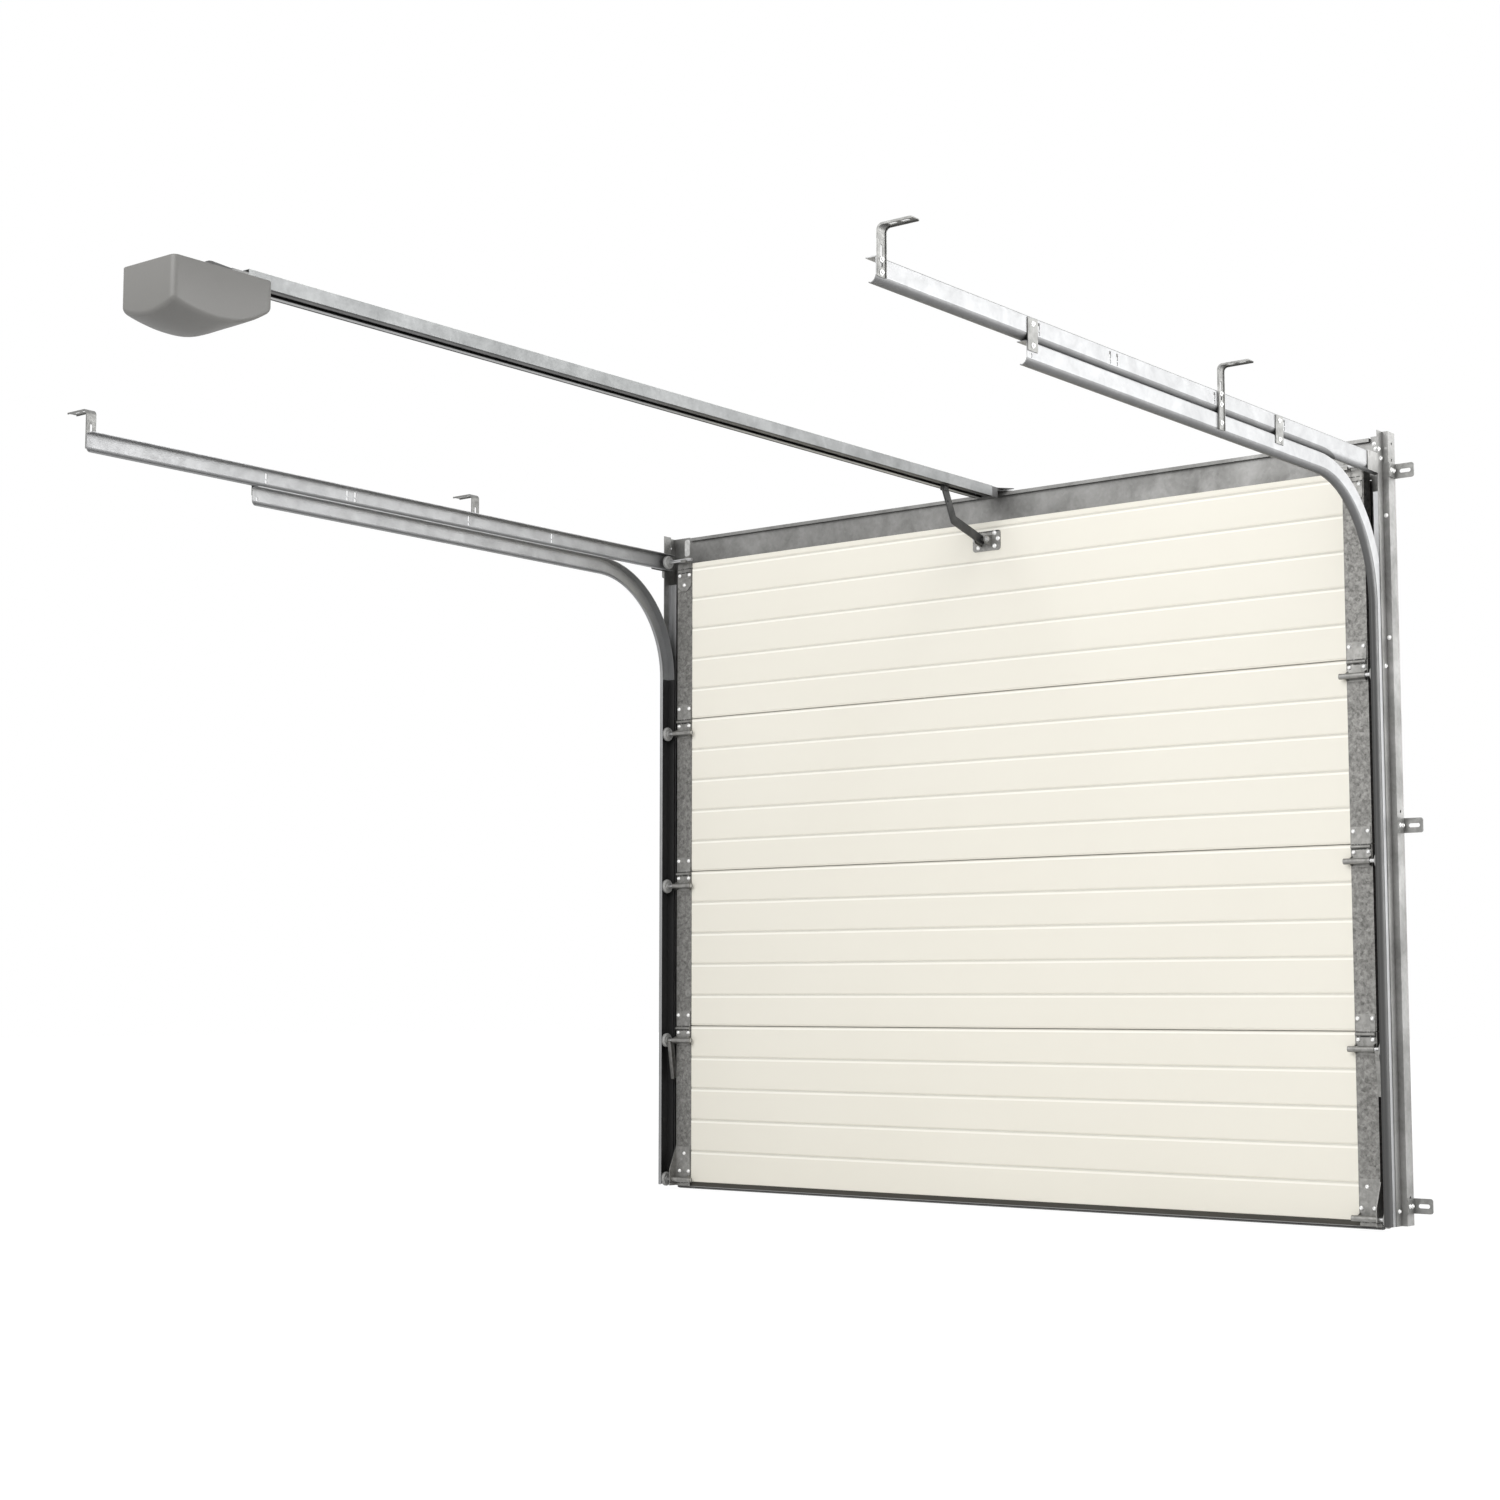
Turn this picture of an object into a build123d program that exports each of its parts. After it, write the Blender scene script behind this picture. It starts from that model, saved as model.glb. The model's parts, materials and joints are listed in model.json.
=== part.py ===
from build123d import *
from math import atan2, degrees, sqrt
import os

# Sectional garage door with low-headroom double tracks and a ceiling opener.
# Millimetres. X runs across the doorway, +Y points outwards through the wall, +Z is up.
# The wall face that the frame is fastened to is y = 0. Heights are given from the lower
# edge of the leaf, and at the end everything is lowered so that the origin lies in the
# middle of the lintel's wall face.

# Leaf: four equal insulated sections
section_height = 500.0
section_count = 4
leaf_width = 2430.0
leaf_thickness = 40.0
leaf_to_wall = 20.0
strip_count = 5
groove_width = 10.0
groove_depth = 2.6
top_groove_drop = 27.0
seam_bevel = (3.0, 6.0)
seam_top_bevel = 1.5
seam_gap = 2.6
tongue_height = 17.0
tongue_width = 17.0
tongue_taper = 3.0
tongue_clearance = 1.5
cap_thickness = 1.5
cap_inner_leg = 62.0
cap_outer_leg = 20.0

# Rollers and the hardware that holds them
roller_diameter = 45.0
roller_width = 14.0
shaft_diameter = 11.0
shaft_length = 108.0
tube_diameter = 16.0
tube_fit = 0.25
roller_axis_off_leaf = 19.0
hinge_plate = 2.5
hinge_width = 56.0
hinge_above_seam = 46.0
hinge_below_seam = 62.0
hinge_roller_drop = 47.0
knuckle_diameter = 9.0
knuckle_drop = 8.0
knuckle_centre = 24.0
bottom_roller_height = 8.0
tube_inner_end = 16.0
tube_outer_end = 4.0
cheek_top = 16.0
cheek_bottom = 14.0
top_roller_rise = 25.3
top_plate_height = 67.0
top_plate_drop = 8.0
top_plate_point = 18.0
slide_width = 24.0
slide_rise = 58.0
slide_overlap = 32.0
slide_slot = (8.0, 36.0)
bottom_plate_top = 112.0
bottom_ear_top = 104.0
bottom_ear_step = 40.0
bottom_ear_reach = 14.0
lever_width = 13.0
lever_length = 125.0
lever_tilt = 9.0
lever_boss = 9.5
lever_wall = 1.5
lever_foot = 8.0

# Track: a C profile whose lower flange is rolled round
track_height = 54.0
track_depth = 27.0
track_offset = 20.0
track_wall = 2.0
track_roll = 17.0
track_roll_reach = 14.0
track_roll_bulge = 3.4
track_lip = (6.0, 1.4)
track_corner = 3.0
web_slot = (7.0, 17.0)
web_slot_short = (7.0, 10.0)
web_slot_places = (1791.0, 1488.0, 1457.0, 994.0, 625.0)
web_slot_height = 38.0
web_slot_step = 16.0
curve_inner_radius = 308.0
lower_track_rear = 1839.0
upper_track_rear = 2396.0
upper_track_front = 52.0
track_stack_gap = 0.3
track_angle_drop = 45.0
track_bottom = -9.0

# Frame
post_wall = 2.0
post_above_lintel = 5.0
post_depth = 43.0
post_web = 18.0
post_leg = 32.0
post_flange_overlap = 3.0
lintel_overlap = 2.0
lintel_above_leaf = 112.0
lintel_flange = 14.0
lintel_lip = 10.0
seat = 0.3
side_seal_width = 24.0
post_hole = 8.0
post_hole_drops = (32.0, 77.0)
post_hole_heights = (64.0, 1085.0)
post_slot = (10.0, 7.0)
post_slot_drop = 46.0

# Brackets
wall_bracket_low = 42.0
wall_bracket_past_middle = 48.0
wall_bracket_above_leaf = 12.0
wall_bracket_corner = 7.0
wall_bracket_width = 40.0
wall_bracket_reach = 54.0
wall_bracket_plate = 2.5
bracket_slot = (32.0, 11.0)
bracket_slot_from_edge = 29.5
hanger_width = 30.0
hanger_plate = 2.0
hanger_rib = 2.5
hanger_above_track = 64.7
hanger_reach = 83.0
hanger_bend = 14.0
hanger_from_end = 15.0
hanger_front = 963.0
hanger_seat_height = 12.5
hanger_slot = (22.0, 9.0)
hanger_slot_places = (30.0, 60.0)
hanger_leg_slots = ((53.0, 27.0), (80.0, 13.0))
hanger_leg_slot_width = 8.0
strap_from_end = 20.0
strap_front = 655.0
strap_width = 40.0
strap_plate = 2.5
strap_below = 23.0
strap_above = 50.0
corner_plate_length = 63.0
corner_plate_slit = (12.0, 2.0, 16.0)

# Bottom edge
bottom_profile_height = 12.0
bottom_profile_leg = 4.0
bottom_seal_height = 22.0

# Opener
rail_width = 62.0
rail_height = 32.0
rail_wall = 2.0
rail_slot = 17.0
rail_lip = 6.0
rail_drop = 22.0
rail_front = 76.0
rail_rear = 2952.0
rail_joint = 1715.0
rail_joint_slant = 26.0
head_width = 168.0
head_rear = 3193.0
head_length = 262.0
head_corner = 8.0
head_stations = ((0.0, 95.0, 101.0), (22.0, 98.0, 122.0), (62.0, 104.0, 135.0), (110.0, 108.0, 140.0),
                 (160.0, 105.0, 135.0), (200.0, 97.0, 120.0), (262.0, 62.0, 66.0))
coupling_length = 45.0
coupling_drop = 6.0
strap_tail = 77.0
arm_width = 28.0
arm_thickness = 5.0
arm_foot = (286.0, 3.0)
arm_bend = (240.0, 94.0)
arm_pivot = (92.0, 132.0)
arm_pin_diameter = 10.0
arm_hole = (14.0, 40.0, 7.0)
trolley_length = 90.0
trolley_tongue = 24.0
trolley_cheek = 4.0
end_cap_length = 36.0
end_cap_inset = 4.0
header_plate = 2.5
header_wall_half = 60.0
header_web = 26.0
door_plate = (98.0, 60.0, 9.0)
door_plate_thickness = 3.0
door_lug_gap = 32.0

# Derived places
leaf_height = section_height * section_count
leaf_half = leaf_width / 2
outer_face = -leaf_to_wall
inner_face = outer_face - leaf_thickness
cap_face = inner_face - cap_thickness
plate_face = cap_face - hinge_plate
roller_y = inner_face - roller_axis_off_leaf
track_near = roller_y - track_height / 2
track_far = track_near + track_height
roller_inner = leaf_half + 20.0
roller_x = roller_inner + roller_width / 2
track_web = roller_x + track_offset
curve_y = track_near - curve_inner_radius
top_roller_height = leaf_height + top_roller_rise
upper_track_bottom = top_roller_height - track_height / 2
lower_track_bottom = upper_track_bottom - track_height - track_stack_gap
curve_centre_height = lower_track_bottom - curve_inner_radius
track_angle_top = leaf_height - track_angle_drop
post_front = -post_depth
post_outer = track_web + post_web
hinge_centre = leaf_half - hinge_width / 2 - 3.0
hinge_left = hinge_centre - hinge_width / 2
hinge_right = hinge_centre + hinge_width / 2
tube_bore = shaft_diameter + 2 * tube_fit
lintel_bottom = leaf_height - lintel_overlap
lintel_top = leaf_height + lintel_above_leaf
lintel_middle = (lintel_bottom + lintel_top) / 2
post_top = lintel_top + post_above_lintel
post_flange_inner = leaf_half - post_flange_overlap
wall_bracket_heights = (wall_bracket_low, leaf_height / 2 + wall_bracket_past_middle,
                        leaf_height + wall_bracket_above_leaf)
hanger_top = upper_track_bottom + track_height + hanger_above_track
hanger_places = ((upper_track_rear - hanger_from_end, upper_track_bottom + hanger_seat_height),
                 (hanger_front, lower_track_bottom + hanger_seat_height))
strap_places = (lower_track_rear - strap_from_end, strap_front)
rail_bottom = lintel_top - rail_drop
rail_top = rail_bottom + rail_height
rail_half = rail_width / 2
arm_points = [(-distance, rail_bottom - drop) for distance, drop in (arm_foot, arm_bend, arm_pivot)]
seams = [section_height * i for i in range(1, section_count)]


def box(x0, x1, y0, y1, z0, z1):
    """Block between two corners."""
    block = Box(x1 - x0, y1 - y0, z1 - z0)
    return Pos((x0 + x1) / 2, (y0 + y1) / 2, (z0 + z1) / 2) * block


def outline(start, *steps):
    """Face inside a run of straight steps (a point) and arcs (a middle point and an end)."""
    edges = []
    here = start
    for step in steps:
        if isinstance(step[0], tuple):
            edges.append(ThreePointArc(here, step[0], step[1]))
            here = step[1]
        else:
            edges.append(Line(here, step))
            here = step
    if here != start:
        edges.append(Line(here, start))
    return make_face(edges)


def along_x(face, x0, x1):
    """Push a (y, z) face from x0 to x1."""
    return Pos(x0, 0, 0) * extrude(Plane.YZ * face, x1 - x0)


def along_z(face, z0, z1):
    """Push an (x, y) face from z0 to z1."""
    return Pos(0, 0, z0) * extrude(face, z1 - z0)


def rod(x0, x1, y, z, diameter):
    """Round bar along X."""
    return Pos((x0 + x1) / 2, y, z) * Rot(0, 90, 0) * Cylinder(diameter / 2, x1 - x0)


def slot_through_x(x, y, z, length_y, length_z, reach=20.0):
    """Cutter for a round-ended slot in an upright plate that faces X."""
    slot = Plane.YZ * Pos(y, z) * RectangleRounded(length_y, length_z, min(length_y, length_z) / 2 - 0.01)
    return Pos(x - reach / 2, 0, 0) * extrude(slot, reach)


def slot_through_y(x, y, z, length_x, length_z, reach=20.0):
    """Cutter for a round-ended slot in an upright plate that faces Y."""
    slot = Plane.XZ * Pos(x, z) * RectangleRounded(length_x, length_z, min(length_x, length_z) / 2 - 0.01)
    return Pos(0, y + reach / 2, 0) * extrude(slot, reach)


def slot_through_z(x, y, z, length_x, length_y, reach=20.0):
    """Cutter for a round-ended slot in a level plate."""
    slot = Pos(x, y) * RectangleRounded(length_x, length_y, min(length_x, length_y) / 2 - 0.01)
    return Pos(0, 0, z - reach / 2) * extrude(slot, reach)


def bulged(start, end, rise):
    """Middle point of an arc that swells by a rise to the right of its chord."""
    dx = end[0] - start[0]
    dy = end[1] - start[1]
    length = sqrt(dx * dx + dy * dy)
    return ((start[0] + end[0]) / 2 + rise * dy / length, (start[1] + end[1]) / 2 - rise * dx / length)


def mirrored(shape):
    """The same piece on the left side."""
    return mirror(shape, Plane.YZ)


# Leaf

def section_face(bottom):
    """End outline of one section: grooved skins, a tongue on top and its groove below."""
    low = bottom + seam_gap / 2
    high = bottom + section_height - seam_gap / 2
    pitch = section_height / strip_count
    grooves = [bottom + pitch * i for i in range(1, strip_count)]
    if high > leaf_height - pitch:
        grooves.append(leaf_height - top_groove_drop)
    middle = (inner_face + outer_face) / 2
    half_root = tongue_width / 2
    half_tip = half_root - tongue_taper
    in_bevel, up_bevel = seam_bevel if bottom > 0 else (seam_top_bevel, seam_top_bevel)
    points = [(inner_face, low + up_bevel)]
    for z in grooves:
        points += [(inner_face, z - groove_width / 2), (inner_face + groove_depth, z),
                   (inner_face, z + groove_width / 2)]
    points += [(inner_face, high - seam_top_bevel), (inner_face + seam_top_bevel, high),
               (middle - half_root, high), (middle - half_tip, high + tongue_height),
               (middle + half_tip, high + tongue_height), (middle + half_root, high),
               (outer_face - seam_top_bevel, high), (outer_face, high - seam_top_bevel)]
    for z in reversed(grooves):
        points += [(outer_face, z + groove_width / 2), (outer_face - groove_depth, z),
                   (outer_face, z - groove_width / 2)]
    points += [(outer_face, low + up_bevel), (outer_face - in_bevel, low)]
    if bottom > 0:
        wide = half_root + tongue_clearance
        narrow = half_tip + tongue_clearance
        deep = low + tongue_height + tongue_clearance - seam_gap
        points += [(middle + wide, low), (middle + narrow, deep), (middle - narrow, deep),
                   (middle - wide, low)]
    return outline((inner_face + in_bevel, low), *points)


def section(index):
    """One insulated section between its end caps."""
    end = leaf_half - cap_thickness
    return along_x(section_face(section_height * index), -end, end)


def end_cap(index):
    """Folded steel cap around the end of one section."""
    low = section_height * index + seam_gap / 2
    high = low + section_height - seam_gap
    back = outer_face + cap_thickness
    face = outline(
        (leaf_half - cap_inner_leg, inner_face), (leaf_half - cap_inner_leg, cap_face),
        (leaf_half, cap_face), (leaf_half, back), (leaf_half - cap_outer_leg, back),
        (leaf_half - cap_outer_leg, outer_face), (leaf_half - cap_thickness, outer_face),
        (leaf_half - cap_thickness, inner_face))
    return along_z(face, low, high)


def roller_tube(height, left, right):
    """Tube in which an axle slides, solid until the bore is cut."""
    return rod(left - tube_inner_end, right, roller_y, height, tube_diameter)


def tube_cutter(height):
    """Cutter for the bore of a roller tube."""
    return rod(hinge_left - 2 * tube_inner_end, leaf_half + tube_inner_end, roller_y, height, tube_bore)


def hinge(seam):
    """End hinge: two leaves, a notched knuckle between them and the roller's tube on two cheeks."""
    axis_z = seam - hinge_roller_drop
    knuckle_z = seam - knuckle_drop
    knuckle_y = plate_face - knuckle_diameter / 2 + hinge_plate
    half_notch = (hinge_width - knuckle_centre) / 2 - 1
    body = box(hinge_left, hinge_right, plate_face, cap_face,
               seam - hinge_below_seam, seam + hinge_above_seam)
    body += rod(hinge_left, hinge_right, knuckle_y, knuckle_z, knuckle_diameter)
    notch = knuckle_diameter / 2 + 1
    for x in (hinge_left, hinge_right - half_notch):
        body -= box(x, x + half_notch, plate_face - knuckle_diameter, plate_face + hinge_plate / 2,
                    knuckle_z + notch, knuckle_z + notch + 2)
    body -= box(hinge_left + half_notch, hinge_right - half_notch, plate_face - knuckle_diameter,
                plate_face + hinge_plate / 2, knuckle_z - notch - 2, knuckle_z - notch)
    cheek = outline(
        (cap_face, axis_z - cheek_bottom), (roller_y, axis_z - tube_diameter / 2),
        (roller_y, axis_z + tube_diameter / 2), (cap_face, axis_z + cheek_top))
    for x in (hinge_left, hinge_right - hinge_plate):
        body += along_x(cheek, x, x + hinge_plate)
    body += roller_tube(axis_z, hinge_left, hinge_right + tube_outer_end)
    return body - tube_cutter(axis_z)


def roller_heights():
    """Heights of the axles that run in the upright track on one side."""
    return [bottom_roller_height] + [seam - hinge_roller_drop for seam in seams]


def roller_wheel(height):
    """Grooved wheel with a hub."""
    half = roller_width / 2
    radius = roller_diameter / 2
    bore = shaft_diameter / 2
    face = outline(
        (bore, -half), (radius - 4, -half), (radius - 1, -half + 2.5), (radius, -half + 5),
        (radius, half - 5), (radius - 1, half - 2.5), (radius - 4, half),
        (radius - 6, half - 2), (bore + 5, half - 2), (bore + 4, half), (bore, half))
    wheel = revolve(Plane.XZ * face, Axis.Z)
    return Pos(roller_x, roller_y, height) * Rot(0, -90, 0) * wheel


def roller_shaft(height):
    """Axle of one roller."""
    end = roller_x + roller_width / 2
    return rod(end - shaft_length, end, roller_y, height, shaft_diameter)


def top_bracket():
    """Fixed plate on the top section and a slide that carries the top roller."""
    high = leaf_height - top_plate_drop
    low = high - top_plate_height
    point = top_plate_point
    plate = outline((hinge_left, low + point), (hinge_left + point, low), (hinge_right - point, low),
                    (hinge_right, low + point), (hinge_right, high), (hinge_left, high))
    body = Pos(0, cap_face, 0) * extrude(Plane.XZ * plate, hinge_plate)
    slide_left = hinge_centre - slide_width / 2
    slide_right = hinge_centre + slide_width / 2
    slide_face = plate_face - hinge_plate
    slide_top = top_roller_height + slide_rise
    slide = outline(
        (slide_left, high - slide_overlap), (slide_right, high - slide_overlap),
        (slide_right, slide_top - slide_width / 2),
        ((hinge_centre, slide_top), (slide_left, slide_top - slide_width / 2)))
    body += Pos(0, plate_face, 0) * extrude(Plane.XZ * slide, hinge_plate)
    body -= slot_through_y(hinge_centre, slide_face, slide_top - slide_width, *slide_slot)
    body += roller_tube(top_roller_height, slide_left, slide_right)
    body += box(slide_left, slide_right, roller_y, slide_face, top_roller_height - tube_diameter / 4,
                top_roller_height + tube_diameter / 4)
    return body - tube_cutter(top_roller_height)


def bottom_bracket():
    """Corner plate with a pointed ear and the bottom roller's tube."""
    low = -bottom_profile_height
    axis = bottom_roller_height
    ear_front = roller_y - bottom_ear_reach
    body = box(hinge_left, leaf_half, plate_face, cap_face, low, bottom_plate_top)
    ear = outline((cap_face, low), (ear_front, low), (ear_front, bottom_ear_step),
                  (plate_face, bottom_ear_top), (cap_face, bottom_ear_top))
    body += along_x(ear, leaf_half, leaf_half + hinge_plate)
    cheek = outline((cap_face, axis - tube_diameter / 2), (roller_y, axis - tube_diameter / 2),
                    (roller_y, axis + tube_diameter / 2), (cap_face, axis + cheek_top))
    body += along_x(cheek, hinge_left, hinge_left + hinge_plate)
    body += roller_tube(axis, hinge_left, leaf_half + hinge_plate)
    return body - tube_cutter(axis)


def lever():
    """Folded lever that hangs on the axle of the lowest seam."""
    axis_z = seams[0] - hinge_roller_drop
    x0 = (leaf_half + roller_inner - lever_width) / 2
    boss = lever_boss
    foot = lever_foot
    arm = outline((-boss, 0), ((0, boss), (boss, 0)), (foot, -lever_length), (-boss, -lever_length),
                  (-boss, -lever_length + foot))
    body = extrude(Plane.YZ * arm, lever_width)
    hollow = outline((-boss - 1, -boss), (boss - lever_wall, -boss), (foot - lever_wall, foot - lever_length),
                     (-boss - 1, foot - lever_length))
    body -= Pos(lever_wall, 0, 0) * extrude(Plane.YZ * hollow, lever_width - 2 * lever_wall)
    body -= rod(-1, lever_width + 1, 0, 0, tube_bore)
    return Pos(x0, roller_y, axis_z) * Rot(-lever_tilt, 0, 0) * body


def bottom_profile():
    """Metal rail under the leaf that holds the rubber seal."""
    end = leaf_half - cap_thickness
    left = inner_face + 1
    right = outer_face - 1
    leg = bottom_profile_leg
    low = -bottom_profile_height
    face = outline(
        (left, seam_gap / 2), (left, low), (left + leg, low), (left + leg, -2), (right - leg, -2),
        (right - leg, low), (right, low), (right, seam_gap / 2))
    return along_x(face, -end, end)


def bottom_seal():
    """Rubber tube seal that clips into the profile, with a rib along each side."""
    top = -bottom_profile_height
    low = -bottom_seal_height
    left = inner_face + 1
    right = outer_face - 1
    leg = bottom_profile_leg
    rib = (top + low) / 2
    face = outline(
        (left + leg, -2), (left + leg, top), (left, top), (left, rib + 2), (left + 1.5, rib + 1),
        (left, rib), (((left + right) / 2, low), (right, rib)), (right - 1.5, rib + 1),
        (right, rib + 2), (right, top), (right - leg, top), (right - leg, -2))
    return along_x(face, -leaf_half + 4, leaf_half - 4)


# Tracks

def track_face():
    """C profile: u runs from the web towards the doorway, v from the rolled side up to the flange."""
    wall = track_wall
    roll = track_roll
    reach = track_roll_reach
    lip = (reach + track_lip[0], track_lip[1])
    corner = track_corner
    top = track_height
    bend_start = (corner, top)
    bend_end = (0, top - corner)
    inner_bulge = track_roll_bulge - wall / 4
    return outline(
        (track_depth, top), bend_start, (bulged(bend_start, bend_end, -corner / 5), bend_end),
        (0, roll), (bulged((0, roll), (reach, 0), track_roll_bulge), (reach, 0)), lip,
        (lip[0] - wall / 2, lip[1] + wall), (reach, wall),
        (bulged((reach, wall), (wall, roll), -inner_bulge), (wall, roll)),
        (wall, top - wall), (track_depth, top - wall))


def web_slots(bottom):
    """Cutters for the pairs of upright slots in a level track's web."""
    cutters = []
    for place in web_slot_places:
        high = bottom + web_slot_height
        cutters.append(slot_through_x(track_web, -place, high, *web_slot))
        cutters.append(slot_through_x(track_web, -place, high - web_slot_step, *web_slot_short))
    return cutters


def upper_track():
    """Level track of the top roller."""
    plane = Plane(origin=(track_web, -upper_track_rear, upper_track_bottom),
                  x_dir=(-1, 0, 0), z_dir=(0, 1, 0))
    track = extrude(plane * track_face(), upper_track_rear - upper_track_front)
    return track - web_slots(upper_track_bottom)


def lower_track():
    """Level track of the other rollers with the bend that turns it down."""
    plane = Plane(origin=(track_web, track_near, curve_centre_height),
                  x_dir=(-1, 0, 0), z_dir=(0, 0, -1))
    axis = Axis((0, curve_y, curve_centre_height), (1, 0, 0))
    bend = revolve(plane * track_face(), axis, 90)
    plane = Plane(origin=(track_web, -lower_track_rear, lower_track_bottom),
                  x_dir=(-1, 0, 0), z_dir=(0, 1, 0))
    level = extrude(plane * track_face(), lower_track_rear + curve_y)
    track = bend + level
    end_slot = slot_through_x(track_web, -lower_track_rear + web_slot_step,
                              lower_track_bottom + web_slot_height - web_slot_step, *web_slot_short)
    return track - end_slot


def vertical_track():
    """Upright track."""
    plane = Plane(origin=(track_web, track_near, curve_centre_height),
                  x_dir=(-1, 0, 0), z_dir=(0, 0, -1))
    return extrude(plane * track_face(), curve_centre_height - track_bottom)


def track_angle():
    """Narrow angle between the track and the post, running on above the bend."""
    t = post_wall
    face = outline(
        (track_web, post_front), (track_web - track_depth, post_front),
        (track_web - track_depth, post_front - t), (track_web - t, post_front - t),
        (track_web - t, track_far + seat), (track_web, track_far + seat))
    return along_z(face, track_bottom, track_angle_top)


def corner_plate():
    """Plate that ties the upper track's front end to the post, slit open at its top."""
    front = -post_depth - post_leg
    rear = front - corner_plate_length
    high = upper_track_bottom + track_height
    plate = box(track_web, track_web + strap_plate, rear, front, upper_track_bottom, high)
    from_rear, width, height = corner_plate_slit
    return plate - box(track_web, track_web + strap_plate, rear + from_rear, rear + from_rear + width,
                       high - height, high)


# Frame

def post_face():
    """Folded post: wall flange, outer web, front flange and the leg that carries the track."""
    t = post_wall
    leg_end = post_front - post_leg
    return outline(
        (post_flange_inner, 0), (post_outer, 0), (post_outer, post_front),
        (track_web + t, post_front), (track_web + t, leg_end), (track_web, leg_end),
        (track_web, post_front + t), (post_outer - t, post_front + t), (post_outer - t, -t),
        (post_flange_inner, -t))


def post():
    """Right-hand post with its fixing holes."""
    body = along_z(post_face(), track_bottom, post_top)
    for z in [post_top - drop for drop in post_hole_drops] + list(post_hole_heights):
        body -= Pos(post_outer, -post_depth / 2, z) * Rot(0, 90, 0) * Cylinder(post_hole / 2, post_web)
    slot_x = (track_web + post_wall + post_outer + post_wall) / 2
    return body - slot_through_y(slot_x, -post_depth, post_top - post_slot_drop, *post_slot)


def lintel():
    """Folded profile across the head of the doorway."""
    t = post_wall
    end = post_flange_inner - seat
    face = outline(
        (0, lintel_bottom), (0, lintel_top), (-lintel_flange, lintel_top),
        (-lintel_flange, lintel_top - lintel_lip), (-lintel_flange + t, lintel_top - lintel_lip),
        (-lintel_flange + t, lintel_top - t), (-t, lintel_top - t), (-t, lintel_bottom))
    return along_x(face, -end, end)


def side_seal():
    """Rubber lip between the post and the leaf's outer face."""
    x1 = post_flange_inner
    x0 = x1 - side_seal_width
    lip_y = outer_face + cap_thickness + seat
    face = outline(
        (x1, 0), (x1, -post_wall), (x1 - 4, -post_wall), (x1 - 10, lip_y), (x0 + 4, lip_y),
        (x0, lip_y + 5), (x0 + 2, lip_y + 7), (x1 - 14, lip_y + 4), (x1 - 9, 0))
    return along_z(face, track_bottom, lintel_bottom - 2)


def top_seal():
    """Rubber lip between the lintel and the top section."""
    lip = outer_face + cap_thickness + seat
    z = leaf_height
    face = outline((-post_wall, z + 10), (-post_wall, z + 2), (lip + 3, z - 12), (lip, z - 10),
                   (lip, z - 4), (-post_wall - 5, z + 10))
    end = post_flange_inner - side_seal_width
    return along_x(face, -end, end)


# Brackets

def wall_bracket(height):
    """Angle bracket: one leg on the post, one slotted leg on the wall."""
    t = wall_bracket_plate
    x0 = post_outer
    x1 = x0 + wall_bracket_reach
    z0 = height - wall_bracket_width / 2
    z1 = height + wall_bracket_width / 2
    plate = box(x0, x1, -t, 0, z0, z1)
    plate = fillet(plate.edges().filter_by(Axis.Y).sort_by(Axis.X)[-2:], wall_bracket_corner)
    body = plate + box(x0, x0 + t, -post_depth, 0, z0, z1)
    return body - slot_through_y(x0 + bracket_slot_from_edge, 0, height, *bracket_slot)


def hanger_face(bottom, thickness):
    """Bent outline of a hanger that is so thick."""
    x0 = track_web
    x1 = x0 + hanger_reach
    bend = hanger_bend
    start = (x0, hanger_top - bend)
    end = (x0 + bend, hanger_top)
    inner_end = (x0 + bend, hanger_top - thickness)
    inner_start = (x0 + thickness, hanger_top - bend)
    swell = bend * (1 - sqrt(0.5))
    inner_swell = (bend - thickness) * (1 - sqrt(0.5))
    return outline(
        (x0, bottom), start, (bulged(start, end, -swell), end), (x1, hanger_top),
        (x1, hanger_top - thickness), inner_end, (bulged(inner_end, inner_start, inner_swell), inner_start),
        (x0 + thickness, bottom))


def ceiling_hanger(place, bottom):
    """Strap with two edge ribs that hangs the tracks from the ceiling."""
    y0 = -place - hanger_width / 2
    y1 = -place + hanger_width / 2

    def bent(thickness, y_from, y_to):
        return Pos(0, y_to, 0) * extrude(Plane.XZ * hanger_face(bottom, thickness), y_to - y_from)

    thick = hanger_plate + hanger_rib
    body = bent(hanger_plate, y0, y1)
    body += bent(thick, y0, y0 + hanger_plate) + bent(thick, y1 - hanger_plate, y1)
    for from_leg in hanger_slot_places:
        body -= slot_through_z(track_web + from_leg, -place, hanger_top, *hanger_slot)
    for drop, length in hanger_leg_slots:
        body -= slot_through_x(track_web, -place, hanger_top - drop, hanger_leg_slot_width, length)
    return body


def track_strap(place):
    """Plate that holds the lower track under the upper one."""
    return box(track_web, track_web + strap_plate, -place - strap_width / 2, -place + strap_width / 2,
               upper_track_bottom - strap_below, upper_track_bottom + strap_above)


# Opener

def rail_face():
    """Rail profile with a slot along its underside."""
    half = rail_half
    t = rail_wall
    slot = rail_slot / 2
    low = rail_bottom
    lip = low + rail_lip
    return outline(
        (-half, low), (-half, rail_top), (half, rail_top), (half, low), (slot, low), (slot, lip),
        (slot + t, lip), (slot + t, low + t), (half - t, low + t), (half - t, rail_top - t),
        (-half + t, rail_top - t), (-half + t, low + t), (-slot - t, low + t), (-slot - t, lip),
        (-slot, lip), (-slot, low))


def rail_run(front, rear):
    """Length of rail between two distances from the wall."""
    return Pos(0, -front, 0) * extrude(Plane.XZ * rail_face(), rear - front)


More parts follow.
